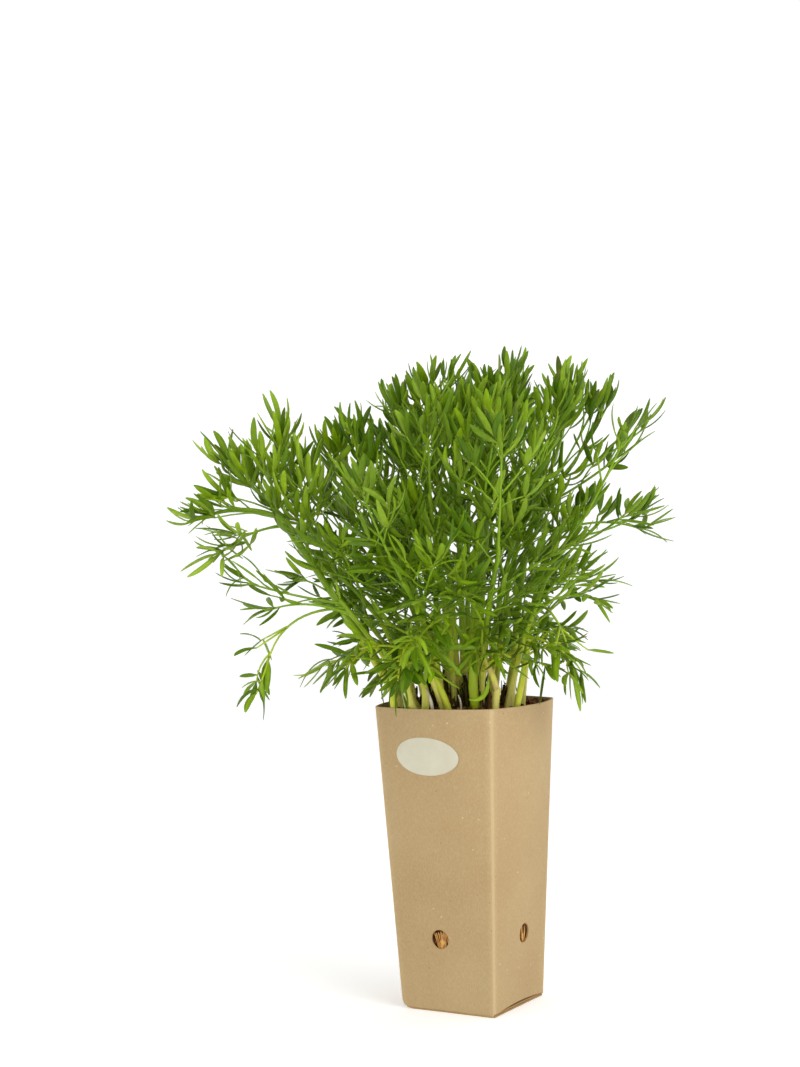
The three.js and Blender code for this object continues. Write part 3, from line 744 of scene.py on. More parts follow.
def stem_curve(stem):
    return [stem.root + UP * STRAIGHT_TO, stem.bend, stem.tip]


def stem_radius(stem, t):
    return between([STEM_LEAST + stem.foot / 4, stem.foot], (1 - t) ** STEM_TAPER)


def stem_rods(stem):
    curve = stem_curve(stem)
    rods = []
    for low, high in zip(STEM_STEPS, STEM_STEPS[1:]):
        rods.append(rod(curve_point(curve, low), curve_point(curve, high), stem_radius(stem, low), STEM))
    return rods


def stems_clear(stem, stems):
    if any(length_of(other.root - stem.root) < ROOT_SPACING for other in stems):
        return False
    others = [one for other in stems for one in stem_rods(other)]
    starts = np.array([one.start for one in others])
    ends = np.array([one.end for one in others])
    radii = np.array([one.radius for one in others])
    for one in stem_rods(stem):
        if (rod_distances(one, starts, ends) <= one.radius + radii + CLEARANCE).any():
            return False
    return True


def all_stems():
    stems = [placed_stem(*values) for values in PLACED_STEMS]
    for ring_index, ring in enumerate(STEM_RINGS):
        for index in range(ring[0]):
            seed = STEM_SEED * (ring_index + 1) + STEM_TRIES * index
            for attempt in range(STEM_TRIES):
                stem = ring_stem(ring, index, random_stream(seed + attempt))
                if stems_clear(stem, stems):
                    stems.append(stem)
                    break
    return stems


def bent_line(start, leaf, reach):
    """Two equal straight stretches, as a curve's three points."""
    via = start + headed(leaf.way, leaf.rise) * (reach / 2)
    return [start, via, via + headed(leaf.way, leaf.end_rise) * (reach / 2)]


def leaf_curve(stem, leaf):
    """A leaf's midrib: placed, of a given length, or long enough to rise to the dome."""
    start = along_bends(stem_curve(stem), STEM_STEPS, leaf.at)
    if hasattr(leaf, "via"):
        return [start, leaf.via, leaf.end]
    if leaf.reach > 0:
        return bent_line(start, leaf, leaf.reach)
    reach = DOME_REACH[0]
    curve = bent_line(start, leaf, reach)
    while reach < DOME_REACH[1] and curve[2][2] < dome_height(curve[2]) - leaf.under:
        reach += REACH_STEP
        curve = bent_line(start, leaf, reach)
    return curve


def in_reach(stem, end):
    return not stem.under_dome or end[2] <= dome_height(end)


def nudged(curve, draw, amount):
    start, via, end = curve
    shift = vec(either(draw, amount), either(draw, amount), either(draw, amount))
    return [start, via + shift * 0.5, end + shift]


def leaf_stops(curve, blade):
    turn = 1 - blade / length_of(curve[2] - curve[0])
    return [0, MIDRIB_BEND, max(LAST_ROW + TURN_ROOM, turn)]


def leaf_rods(curve, blade):
    foot, bend, turn = (curve_point(curve, stop) for stop in leaf_stops(curve, blade))
    base, rib = rod(foot, bend, RACHIS_RADIUS, BASE), rod(bend, turn, RACHIS_RADIUS, RIB)
    return [base, rib, rod(turn, curve[2], BLADE_HALF_WIDTH, BLADE)]


def branch_curve(leaf, row, side, draw):
    place, share, row_lean = row
    at = place + side * PAIR_OFFSET
    ahead = curve_direction(leaf.curve, at)
    flat, above = section_axes(ahead)
    root = along_bends(leaf.curve, leaf_stops(leaf.curve, leaf.blade), at) + above * ROOT_LIFT
    out = leaning(ahead, flat, side, row_lean + either(draw, BRANCH_LEAN_SPREAD))
    way = unit(out + UP * between(BRANCH_LIFT, draw()))
    blade = between(BLADE_LENGTH, draw())
    wanted = leaf.reach * share * between(LENGTH_SPREAD, draw())
    knee = root + way * (clamp(wanted, blade + LEAST_STALK, MOST_BRANCH) - blade)
    bent = unit(way + UP * between(BLADE_LIFT, draw()))
    roll = either(draw, BLADE_ROLL_SPREAD)
    return Record(at=at, root=root, knee=knee, end=knee + bent * blade, roll=roll)


def branch_rods(branch):
    return [
        rod(branch.root, branch.knee, AXIS_RADIUS + BASE_MORE, BASE),
        rod(branch.knee, branch.end, BLADE_HALF_WIDTH, BLADE),
    ]


def grow_leaf(stem, leaf_index):
    leaf = stem.leaves[leaf_index]
    own_seed = SEED_STEP * stem.index + leaf_index
    draw = random_stream(LEAF_SEED + own_seed)
    wanted = leaf_curve(stem, leaf)
    blade = between(BLADE_LENGTH, draw())
    for attempt in range(LEAF_TRIES):
        curve = nudged(wanted, draw, attempt * LEAF_NUDGE)
        if in_reach(stem, curve[2]) and settle(leaf_rods(curve, blade), stem.index):
            reach = length_of(curve[1] - curve[0]) + length_of(curve[2] - curve[1])
            grown = Record(at=leaf.at, curve=curve, blade=blade, reach=reach, branches=[])
            grown.seed = BRANCH_SEED + own_seed
            stem.grown.append(grown)
            return


def grow_branches(stem, leaf):
    rows = BRANCH_ROWS[:1] if leaf.reach < ONE_PAIR_REACH else BRANCH_ROWS
    for row_index, row in enumerate(rows):
        for side in (1, -1):
            draw = random_stream(leaf.seed * 8 + row_index * 2 + max(0, side))
            for attempt in range(BRANCH_TRIES):
                branch = branch_curve(leaf, row, side, draw)
                if in_reach(stem, branch.end) and settle(branch_rods(branch), stem.index):
                    leaf.branches.append(branch)
                    break


def grow_bush():
    stems = all_stems()
    for index, stem in enumerate(stems):
        stem.index, stem.grown, stem.small_leaves = index, [], []
        claim(stem_rods(stem), index)
    for leaf_index in range(max(len(stem.leaves) for stem in stems)):
        for stem in stems:
            if leaf_index < len(stem.leaves):
                grow_leaf(stem, leaf_index)
    for stem in stems:
        for leaf in stem.grown:
            grow_branches(stem, leaf)
    return stems


# Small side leaflets and leaves that fill the bush between the ones the solids hold

def up_pull(z):
    """How strongly a leaflet turns up, from drooping at the rim to upright above."""
    return between(UP_PULL, smooth_step((z - DROOP_HEIGHT) / (UPRIGHT_HEIGHT - DROOP_HEIGHT)))


def any_width(draw):
    return BLADE_HALF_WIDTH * between(BLADE_WIDTH_SPREAD, draw())


def blade_entry(base, first_way, end, half_width, roll):
    """A leaflet that leaves its base along one direction, sways and bends to its end."""
    span = length_of(end - base)
    flat, above = section_axes(first_way)
    sway, heave = BLADE_SWAY * math.sin(7 * base[0] + 3 * base[2]), BLADE_SWAY * math.sin(5 * base[1])
    via = base + first_way * (span * BLADE_BEND) + (flat * sway + above * heave) * span
    return Record(curve=[base, via, end], half_width=half_width, roll=roll)


class Filler:
    """Grows small stalks and leaflets on one stem, from a random stream of its own."""

    def __init__(self, stem, seed):
        self.stem = stem
        self.draw = random_stream(seed)
        self.stalks, self.blades = [], []

    def store(self):
        """Keeps what has grown so far as one small leaf of the stem."""
        if self.stalks:
            self.stem.small_leaves.append((self.stalks, self.blades))
        self.stalks, self.blades = [], []

    def settle(self, tip, rods):
        """Takes the space of some rods if it is free and near the space that the solids fill."""
        if self.stem.under_dome and tip[2] > dome_height(tip) + DOME_ROOM:
            return False
        if (tip <= BOX_LOW - BOX_ROOM).any() or (tip >= BOX_HIGH + BOX_ROOM).any():
            return False
        return settle(rods, self.stem.index, EXTRA_GAP)

    def keep_first(self, make):
        """Keeps the first of several tries at a leaflet that stays clear of the others."""
        for attempt in range(EXTRA_TRIES):
            blade = make()
            end = blade.curve[2]
            radius = min(EXTRA_RADIUS, blade.half_width)
            if self.settle(end, [rod(curve_point(blade.curve, EXTRA_FROM), end, radius, BLADE)]):
                self.blades.append(blade)
                return

    def side_blade(self, base, ahead, roll, length, side, lean_range, length_range):
        draw = self.draw
        length = length * between(length_range, draw())
        base = base - ahead * (PAIR_STAGGER * draw())
        pull = up_pull(base[2])
        out = leaning(ahead, rolled(ahead, roll), side, between(lean_range, draw()))
        out = unit(out + UP * (PULL_AT_FOOT * pull + either(draw, TILT_SPREAD)))
        forward = ahead * (BLADE_FORWARD * draw())
        bent = unit(out + forward + UP * (PULL_AT_TIP * pull + either(draw, TIP_TILT_SPREAD)))
        width = any_width(draw)
        if draw() < THREAD_SHARE:
            width = THREAD_HALF_WIDTH
            bent = unit(bent - UP * (THREAD_DROOP * draw()))
        return blade_entry(base, out, base + bent * length, width, roll + either(draw, ROLL_SPREAD))

    def pair(self, base, ahead, roll, length, ranges):
        """Two leaflets that leave one point to the left and the right."""
        for side in (1, -1):
            self.keep_first(lambda: self.side_blade(base, ahead, roll, length, side, *ranges))

    def star(self, base, ahead, roll, length):
        """The leaflets round the foot of an end leaflet: a near pair, and sometimes one lower down."""
        self.pair(base, ahead, roll, length, NEAR_PAIR)
        if self.draw() < FAR_SHARE:
            turned = roll + either(self.draw, FAR_ROLL_SPREAD)
            self.pair(base - ahead * PAIR_STAGGER, ahead, turned, length, FAR_PAIR)

    def twig(self, curve, side, row):
        """A short side branch with an end leaflet and others beside it."""
        draw = self.draw
        place, stalk_range, row_lean = row
        at = place + side * PAIR_OFFSET
        ahead = curve_direction(curve, at)
        flat, above = section_axes(ahead)
        root = curve_point(curve, at)
        pull = up_pull(root[2])
        for attempt in range(EXTRA_TRIES):
            out = leaning(ahead, flat, side, row_lean + either(draw, 2 * BRANCH_LEAN_SPREAD))
            way = unit(out + above * either(draw, TWIG_TILT_SPREAD) + UP * (PULL_AT_FOOT * pull))
            knee = root + way * between(stalk_range, draw())
            lift = UP * (PULL_ON_TWIG * pull + either(draw, END_TILT_SPREAD))
            bent = unit(way + lift + ahead * (TWIG_FORWARD * draw()))
            length = between(FILL_BLADE, draw())
            end = knee + bent * length
            if self.settle(end, [rod(mix(knee, end, 0.3), end, EXTRA_RADIUS, BLADE)]):
                roll = either(draw, BLADE_ROLL_SPREAD)
                self.stalks.append([root, mix(root, knee, 0.5), knee])
                self.blades.append(blade_entry(knee, way, end, any_width(draw), roll))
                self.star(knee, bent, roll, length)
                return

    def small_leaf(self, number):
        """A small leaf low on a stem: a thin stalk, a pair of twigs and a star of leaflets at its end."""
        draw, stem = self.draw, self.stem
        start = curve_point(stem_curve(stem), between(SMALL_LEAF_AT, (number + draw()) / SMALL_LEAVES))
        if start[2] < SMALL_LEAF_LOWEST:
            return
        outward = math.degrees(math.atan2(stem.tip[1], stem.tip[0]) - PLAN_TURN)
        high = smooth_step((start[2] - SOIL_TOP) / SMALL_LEAF_RANGE)
        for attempt in range(EXTRA_TRIES):
            leaf = Record(rise=between(SMALL_LEAF_RISE, clamp(high + either(draw, RISE_SPREAD))))
            leaf.end_rise = between(SMALL_LEAF_DROOP, clamp(high + either(draw, RISE_SPREAD)))
            leaf.way = outward + either(draw, SMALL_LEAF_SPREAD)
            curve = bent_line(start, leaf, between(SMALL_LEAF_REACH, draw()))
            middle, end = curve_point(curve, 0.5), curve[2]
            rods = [rod(start, middle, SMALL_STALK_RADIUS, BASE), rod(middle, end, SMALL_STALK_RADIUS, RIB)]
            if self.settle(end, rods):
                self.stalks.append(curve)
                self.end_star(curve)
                return

    def end_star(self, curve):
        draw = self.draw
        end, ahead = curve[2], curve_direction(curve, 1)
        length = between(BLADE_LENGTH, draw())

        def make():
            tip = end + unit(ahead + UP * either(draw, END_TILT_SPREAD)) * length
            return blade_entry(end, ahead, tip, any_width(draw), 0)

        self.keep_first(make)
        self.star(end, ahead, either(draw, 1), length)
        for side in (1, -1):
            self.twig(curve, side, SMALL_TWIG)

    def placed_star(self, centre, leaflets):
        """A thin stalk from the tip of the stem to a star of long leaflets that faces the camera."""
        tip, middle = self.stem.tip, from_plan(*centre)
        self.stalks.append([tip, mix(tip, middle, 0.5) + UP * 3, middle])
        for angle, length in leaflets:
            across, up = math.cos(math.radians(angle)), math.sin(math.radians(angle))
            way = unit(from_plan(across, -0.5 * self.draw(), up))
            end = middle + unit(way - UP * (STAR_DROOP * self.draw())) * length
            self.blades.append(blade_entry(middle, way, end, any_width(self.draw), STAR_ROLL))


def fill_leaf(stem, leaf):
    """Adds the small pairs of one leaf, as stalks and blades."""
    filler = Filler(stem, EXTRA_SEED + leaf.seed)
    curve = leaf.curve
    turn = leaf_stops(curve, leaf.blade)[-1]
    filler.star(curve_point(curve, turn), curve_direction(curve, turn), 0, leaf.blade)
    low = curve[2][2] < FILL_LEAST_HEIGHT or stem.index in SPARSE_STEMS
    for branch in leaf.branches:
        branch.stalk = bowed(curve_point(curve, branch.at), branch.knee, filler.draw)
        if low and filler.draw() > LOW_PAIR_SHARE:
            continue
        length = length_of(branch.end - branch.knee)
        filler.star(branch.knee, curve_direction(branch.stalk, 1), branch.roll, length)
    rows = [] if low else FILL_ROWS
    for row in DENSE_ROWS if stem.index in DENSE_STEMS else rows:
        for side in (1, -1):
            filler.twig(curve, side, row)
    leaf.small_stalks, leaf.small_blades = filler.stalks, filler.blades


def add_small_leaves(stem):
    filler = Filler(stem, EXTRA_SEED * 3 + stem.index)
    for number in range(1 if stem.index in SPARSE_STEMS else SMALL_LEAVES):
        filler.small_leaf(number)
        filler.store()
    for centre, leaflets in STARS.get(stem.index, []):
        filler.placed_star(centre, leaflets)
        filler.store()


def grow_tuft(stem):
    """Young upright leaflets at the tip of a stem."""
    filler = Filler(stem, EXTRA_SEED * 2 + stem.index)
    draw, tip = filler.draw, stem.tip
    ahead = curve_direction(stem_curve(stem), 1)

    def make():
        way = unit(ahead + vec(either(draw, TUFT_SPREAD), either(draw, TUFT_SPREAD), TUFT_RISE))
        end = tip + unit(way + UP * TUFT_CURVE) * between(TUFT_LENGTH, draw())
        return blade_entry(tip, way, end, TUFT_HALF_WIDTH, 0)

    for number in range(TUFT_BLADES):
        filler.keep_first(make)
    stem.tuft = filler.blades


# Meshes: closed tubes of rings, gathered for one object

def band(low, high, count):
    """The faces between two rings, given by the numbers of their first points."""
    pairs = [(side, (side + 1) % count) for side in range(count)]
    return [(low + side, low + after, high + after, high + side) for side, after in pairs]


@functools.cache
def tube_faces(rings, sides, tip):
    """Faces of a closed tube: its first end, its rings, and a point or a flat last end."""
    faces = [tuple(range(sides - 1, -1, -1))]
    for ring in range(rings - 1):
        faces += band(ring * sides, (ring + 1) * sides, sides)
    last = (rings - 1) * sides
    if tip:
        faces += [(last + side, last + (side + 1) % sides, last + sides) for side in range(sides)]
    else:
        faces.append(tuple(range(last, last + sides)))
    return faces


def tint_rows(count, *channels):
    """Colour values for several rings: up to four channels, each a number or a list."""
    rows = np.zeros((count, 4))
    for column, values in enumerate(channels):
        rows[:, column] = values
    return rows


class Skin:
    """Points, faces and the values that colour them, for one object."""

    def __init__(self):
        self.points, self.faces, self.parts, self.tints = [], [], [], []
        self.count = 0

    def add(self, points, faces, tints, part=0):
        self.points.append(points)
        self.faces += [tuple(self.count + i for i in face) for face in faces]
        self.parts += [part] * len(faces)
        self.tints.append(tints)
        self.count += len(points)

    def add_rings(self, rings, tint, part=0, tip=None, groove=0):
        """A closed tube. A tint gives one row of colour values for each ring and the tip."""
        sides = len(rings[0])
        faces = tube_faces(len(rings), sides, tip is not None)
        tints = np.repeat(tint[:len(rings)], sides, axis=0)
        tints[sides // 4::sides, 0] += groove
        if tip is not None:
            rings = rings + [tip[None, :]]
            tints = np.concatenate([tints, tint[-1:]])
        self.add(np.concatenate(rings), faces, tints, part)

    def sweep(self, curve, stops, widths, thicks, profile, tint, part=0, tip=None, side=None):
        """A tube along a curve, with a pale groove if it is a leaflet. Its side is level if not given."""
        centres = [curve_point(curve, t) for t in stops]
        aheads = [curve_direction(curve, t) for t in stops]
        side = section_axes(aheads[0])[0] if side is None else side
        rings = swept_rings(centres, aheads, side, widths, thicks, profile)
        self.add_rings(rings, tint, part, tip, GROOVE_PALE if profile is BLADE_PROFILE else 0)

    def make(self, name, *materials):
        mesh = bpy.data.meshes.new(name)
        mesh.from_pydata((np.concatenate(self.points) * MM).tolist(), [], self.faces)
        for material in materials:
            mesh.materials.append(material)
        mesh.polygons.foreach_set("material_index", self.parts)
        mesh.polygons.foreach_set("use_smooth", [True] * len(self.faces))
        tint = mesh.attributes.new("tint", "FLOAT_COLOR", "POINT")
        tint.data.foreach_set("color", np.concatenate(self.tints).ravel())
        mesh.update()
        return link_object(name, mesh)


def link_object(name, data):
    piece = bpy.data.objects.new(name, data)
    bpy.context.scene.collection.objects.link(piece)
    return piece


def attach(piece, replaced=None):
    """Has a piece ride on the one body, and hides the solid that it replaces."""
    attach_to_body(piece, "root")
    if replaced:
        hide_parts(replaced)


def swept_rings(centres, aheads, first_side, widths, thicks, profile):
    """Rings round a line, each turned as little as possible from the one before."""
    rings = []
    side = first_side
    for centre, ahead, width, thick in zip(centres, aheads, widths, thicks):
        side = unit(side - ahead * (side @ ahead))
        above = cross(ahead, side)
        rings.append(centre + np.outer(profile[:, 0] * width, side) + np.outer(profile[:, 1] * thick, above))
    return rings


def round_profile(sides, rib=0):
    angles = 2 * math.pi * np.arange(sides) / sides
    radius = 1 + rib * np.cos(angles * sides / 2)
    return np.stack([radius * np.cos(angles), radius * np.sin(angles)], axis=1)


def grooved_profile(sides):
    """A lens with a shallow groove above and a low keel below."""
    angles = 2 * math.pi * np.arange(sides) / sides
    up = np.sin(angles)
    depth = np.where(up > 0, 1 - 0.5 * up ** 4, 1 + 0.2 * up ** 4)
    return np.stack([np.cos(angles), up * depth], axis=1)


def blade_width(share):
    """Width of a leaflet along its length: a thin neck, a long even middle, then a pointed tip."""
    rise = math.sin(math.pi / 2 * clamp(share / BLADE_WIDE_FROM)) ** BLADE_RISE_POWER
    fall = math.cos(math.pi / 2 * clamp((share - BLADE_WIDE_TO) / 0.4)) ** BLADE_FALL_POWER
    return rise * fall


BLADE_PROFILE = grooved_profile(BLADE_SIDES)
STALK_PROFILE = round_profile(STALK_SIDES)
STEM_PROFILE = round_profile(STEM_SIDES, STEM_RIB)
MIDRIB_PROFILE = grooved_profile(MIDRIB_SIDES)
BLADE_STOPS = [0.0] + [0.1 + 0.86 * i / (BLADE_RINGS - 2) for i in range(BLADE_RINGS - 1)]
LEAF_PART, STALK_PART = 0, 1


def add_blade(skin, blade, youth, bloom, shade):
    curve, roll, half_width = blade.curve, blade.roll, blade.half_width
    neck = min(AXIS_RADIUS, half_width)
    widths = [max(neck * (1 - share * 0.5), half_width * blade_width(share)) for share in BLADE_STOPS]
    widths[-1] = half_width * blade_width(BLADE_STOPS[-1])
    thick = min(BLADE_THICK, half_width)
    thinned = [1 - BLADE_THINNING * share ** 5 for share in BLADE_STOPS]
    thicks = [mix(neck, thick, min(1, share * 4)) * thin for share, thin in zip(BLADE_STOPS, thinned)]
    tint = tint_rows(len(BLADE_STOPS) + 1, youth, bloom, BLADE_STOPS + [1], shade)
    side = rolled(curve_direction(curve, 0), roll)
    skin.sweep(curve, BLADE_STOPS, widths, thicks, BLADE_PROFILE, tint, LEAF_PART, curve[2], side)


def add_stalk(skin, curve, radii, green=0, part=STALK_PART):
    stops = even_stops(STALK_RINGS)
    radius = [between(radii, t) for t in stops]
    skin.sweep(curve, stops, radius, radius, STALK_PROFILE, tint_rows(STALK_RINGS, green), part)


def stem_green(z, least=0):
    """How green a stalk is at a height: pale at the soil, green above."""
    return max(least, smooth_step((z - PALE_TO) / GREEN_RISE))


def add_stem(skin, stem, pink):
    curve, foot = stem_curve(stem), stem.foot
    stops = even_stops(STEM_RINGS_UP)
    radii = []
    for t in stops:
        swell = sum(math.exp(-((t - leaf.at) / JOINT_LENGTH) ** 2) for leaf in stem.grown)
        radii.append(stem_radius(stem, t) * (1 + JOINT_SWELL * min(1, swell)))
    centres = [stem.root + UP * z for z in (FOOT_Z, mix(FOOT_Z, STRAIGHT_TO, 0.6))]
    centres += [curve_point(curve, t) for t in stops]
    aheads = [UP, UP] + [curve_direction(curve, t) for t in stops]
    widths = [foot * share for share in FOOT_WIDTHS] + radii
    rings = swept_rings(centres, aheads, section_axes(UP)[0], widths, widths, STEM_PROFILE)
    green = [stem_green(centre[2]) for centre in centres] + [1]
    tint = tint_rows(len(green), green, pink)
    skin.add_rings(rings, tint, STALK_PART, stem.tip + aheads[-1] * (radii[-1] * STEM_TIP))


def add_midrib(skin, leaf, stem, pink, ends):
    """A leaf's main axis: a broad sheath where it clasps the stem, then a grooved stalk."""
    curve = leaf.curve
    turn = leaf_stops(curve, leaf.blade)[-1]
    stops = [turn * share ** MIDRIB_CROWDING for share in even_stops(MIDRIB_RINGS)]
    sheath = stem_radius(stem, leaf.at) * SHEATH_WIDTH
    widths, thicks = [], []
    for t in stops:
        plain = between(ends, (t / turn) ** MIDRIB_TAPER)
        clasp = max(0, 1 - t / SHEATH_LENGTH)
        widths.append(plain + (sheath - plain) * clasp)
        thicks.append(plain + (sheath * SHEATH_THICK - plain) * clasp)
    green = [stem_green(curve_point(curve, t)[2], MIDRIB_GREEN) for t in stops]
    tint = tint_rows(len(stops), green, pink * MIDRIB_PINK)
    skin.sweep(curve, stops, widths, thicks, MIDRIB_PROFILE, tint, STALK_PART)


def add_leaf(skin, leaf, draw):
    """The branches and small stalks of a leaf. Gives all its leaflets."""
    turn = leaf_stops(leaf.curve, leaf.blade)[-1]
    start, way = curve_point(leaf.curve, turn), curve_direction(leaf.curve, turn)
    blades = [blade_entry(start, way, leaf.curve[2], any_width(draw), 0)]
    for branch in leaf.branches:
        knee, end = branch.knee, branch.end
        add_stalk(skin, branch.stalk, BRANCH_RADIUS, stem_green(knee[2], STALK_GREEN))
        width = any_width(draw)
        blades.append(Record(curve=bowed(knee, end, draw), half_width=width, roll=branch.roll))
    for start, via, end in leaf.small_stalks:
        add_stalk(skin, bowed(start, end, draw), TWIG_RADIUS, stem_green(end[2], STALK_GREEN))
    return blades + leaf.small_blades


def make_shoot(stem, materials):
    index = stem.index
    draw = random_stream(SKIN_SEED + index)
    skin = Skin()
    pale = PALE_STEMS.get(index, 0)
    pink = PINK_MOST * draw() ** PINK_RARITY
    add_stem(skin, stem, pink)

    def add_blades(blades, youth, bloom):
        for blade in blades:
            young = clamp(youth + either(draw, YOUTH_SPREAD))
            add_blade(skin, blade, young, clamp(bloom + either(draw, BLOOM_SPREAD)), draw())

    for number, leaf in enumerate(stem.grown):
        youth = clamp(pale + LEAF_YOUTH * draw())
        bloom = LEAF_BLOOM * draw()
        stout = (index, number) == STOUT_LEAF
        add_midrib(skin, leaf, stem, pink, STOUT_RADIUS if stout else MIDRIB_RADIUS)
        add_blades(add_leaf(skin, leaf, draw), youth, bloom)
    for stalks, blades in stem.small_leaves:
        for number, stalk in enumerate(stalks):
            radii = SMALL_TWIG_RADIUS if number else SMALL_RADIUS
            add_stalk(skin, stalk, radii, stem_green(stalk[2][2], STALK_GREEN))
        add_blades(blades, clamp(pale + SMALL_LEAF_YOUTH * draw()), SMALL_LEAF_BLOOM * draw())
    add_blades(stem.tuft, clamp(TUFT_YOUTH + pale), TUFT_BLOOM)
    piece = skin.make(f"leafy_stem_{index + 1:02d}", *materials)
    attach(piece, f"shoot_{index + 1:02d}")


# Materials

def screen_colour(value):
    """Three numbers are a colour as it looks on a screen, from 0 to 255. Other values stay."""
    if not isinstance(value, tuple) or len(value) != 3:
        return value
    shares = [part / 255 for part in value]
    return tuple(s / 12.92 if s <= 0.04045 else ((s + 0.055) / 1.055) ** 2.4 for s in shares) + (1,)


class Look:
    """One material, built node by node. A value is a socket, a number or a colour."""

    def __init__(self, name):
        self.material = bpy.data.materials.new(name)
        self.material.use_nodes = True
        self.shader = self.material.node_tree.nodes["Principled BSDF"]

    def put(self, socket, value):
        if isinstance(value, bpy.types.NodeSocket):
            self.material.node_tree.links.new(value, socket)
        else:
            socket.default_value = value

    def node(self, kind, **inputs):
        node = self.material.node_tree.nodes.new("ShaderNode" + kind)
        for name, value in inputs.items():
            self.put(node.inputs[name], value)
        return node

    def coordinates(self, *stretch):
        """Object coordinates, stretched by a factor along each axis."""
        place = self.node("TexCoord").outputs["Object"]
        return self.node("Mapping", Vector=place, Scale=stretch or (1, 1, 1)).outputs["Vector"]

    def noise(self, vector, scale, detail=2, roughness=0.5):
        node = self.node("TexNoise", Scale=scale, Detail=detail, Roughness=roughness, Vector=vector)
        return node.outputs["Fac"]

    def ramp(self, value, *stops):
        """Colours or greys along a value: each stop is a place and a colour."""
        node = self.node("ValToRGB")
        elements = node.color_ramp.elements
        while len(elements) < len(stops):
            elements.new(0.5)
        for element, (place, shade) in zip(elements, stops):
            element.position = place
            element.color = screen_colour(shade) if isinstance(shade, tuple) else (shade, shade, shade, 1)
        self.put(node.inputs["Fac"], value)
        return node.outputs["Color"]

    def blend(self, factor, first, second):
        node = self.node("Mix")
        node.data_type = "RGBA"
        for name, value in (("Factor", factor), (6, first), (7, screen_colour(second))):
            self.put(node.inputs[name], value)
        return node.outputs[2]

    def maths(self, operation, first, second):
        node = self.node("Math")
        node.operation = operation
        self.put(node.inputs[0], first)
        self.put(node.inputs[1], second)
        return node.outputs[0]

    def times(self, first, second):
        return self.maths("MULTIPLY", first, second)

    def tint(self):
        """The values stored on the points. A leaflet has its youth, bloom, place along and shade."""
        attribute = self.node("Attribute")
        attribute.attribute_name = "tint"
        split = self.node("SeparateColor", Color=attribute.outputs["Color"])
        return [split.outputs[name] for name in ("Red", "Green", "Blue")] + [attribute.outputs["Alpha"]]

    def specks(self, vector, scale, size, rarity, strength):
        """Small round specks, of which only a share shows."""
        cells = self.node("TexVoronoi", Scale=scale, Vector=vector)
        split = self.node("SeparateColor", Color=cells.outputs["Color"])
        near = self.maths("LESS_THAN", cells.outputs["Distance"], size)
        rare = self.maths("GREATER_THAN", split.outputs["Red"], rarity)
        return self.times(self.times(near, rare), strength)

    def finish(self, base, roughness, specular=0.5, bump=None, inside=None):
        """Joins the colour, the gloss, a bump of some strength and depth, and light from inside."""
        values = {"Base Color": base, "Roughness": roughness, "Specular IOR Level": specular}
        if bump:
            height, strength, depth = bump
            node = self.node("Bump", Strength=strength, Distance=depth, Height=height)
            values["Normal"] = node.outputs["Normal"]
        if inside:
            names = ("Subsurface Weight", "Subsurface Radius", "Subsurface Scale")
            values.update(zip(names, inside))
        for name, value in values.items():
            self.put(self.shader.inputs[name], value)
        return self.material


def blade_material():
    look = Look("leaf_blade")
    youth, bloom, along, shade = look.tint()
    greens = (0, (102, 134, 0)), (0.35, (134, 166, 2)), (0.7, (162, 192, 44)), (1, (186, 212, 92))
    green = look.ramp(youth, *greens)
    bloomed = look.blend(look.times(bloom, 0.45), green, (160, 184, 72))
    vector = look.coordinates()
    mottle = look.noise(vector, 260, 3)
    mottled = look.blend(look.ramp(mottle, (0.35, 0), (0.7, 0.25)), bloomed, (60, 96, 0))
    neck = look.ramp(along, (0, 0.6), (0.3, 0), (0.96, 0), (1, 0.3))
    necked = look.blend(neck, mottled, (160, 176, 56))
    shaded = look.blend(look.ramp(shade, (0, 0), (0.4, 0.2), (1, 0.85)), necked, (50, 88, 0))
    purple = look.maths("GREATER_THAN", shade, 0.95)
    tip = look.ramp(along, (0.6, 0), (0.9, 0.4), (1, 0.7))
    tipped = look.blend(look.times(purple, tip), shaded, (104, 78, 44))
    rough = look.ramp(mottle, (0.3, 0.36), (0.7, 0.5))
    bump = look.noise(vector, 1800, 2), 0.25, 0.0001
    return look.finish(tipped, rough, 0.16, bump, (0.25, (0.6, 1, 0.15), 0.0015))


def stalk_material():
    look = Look("leaf_stalk")
    green, pink = look.tint()[:2]
    greens = (0, (222, 214, 112)), (0.3, (196, 200, 46)), (0.65, (164, 190, 10)), (1, (122, 160, 4))
    base = look.ramp(green, *greens)
    streak = look.noise(look.coordinates(1, 1, 0.06), 1500, 2)
    streaked = look.blend(look.ramp(streak, (0.4, 0), (0.7, 0.25)), base, (128, 142, 30))
    patch = look.noise(look.coordinates(), 90, 2)
    pinkness = look.times(pink, look.ramp(patch, (0.4, 0.1), (0.65, 0.9)))
    low = look.ramp(green, (0, 1), (0.8, 0))
    pinked = look.blend(look.times(pinkness, low), streaked, (184, 146, 104))
    return look.finish(pinked, 0.46, 0.4, (streak, 0.3, 0.0002), (0.2, (0.8, 1, 0.25), 0.002))


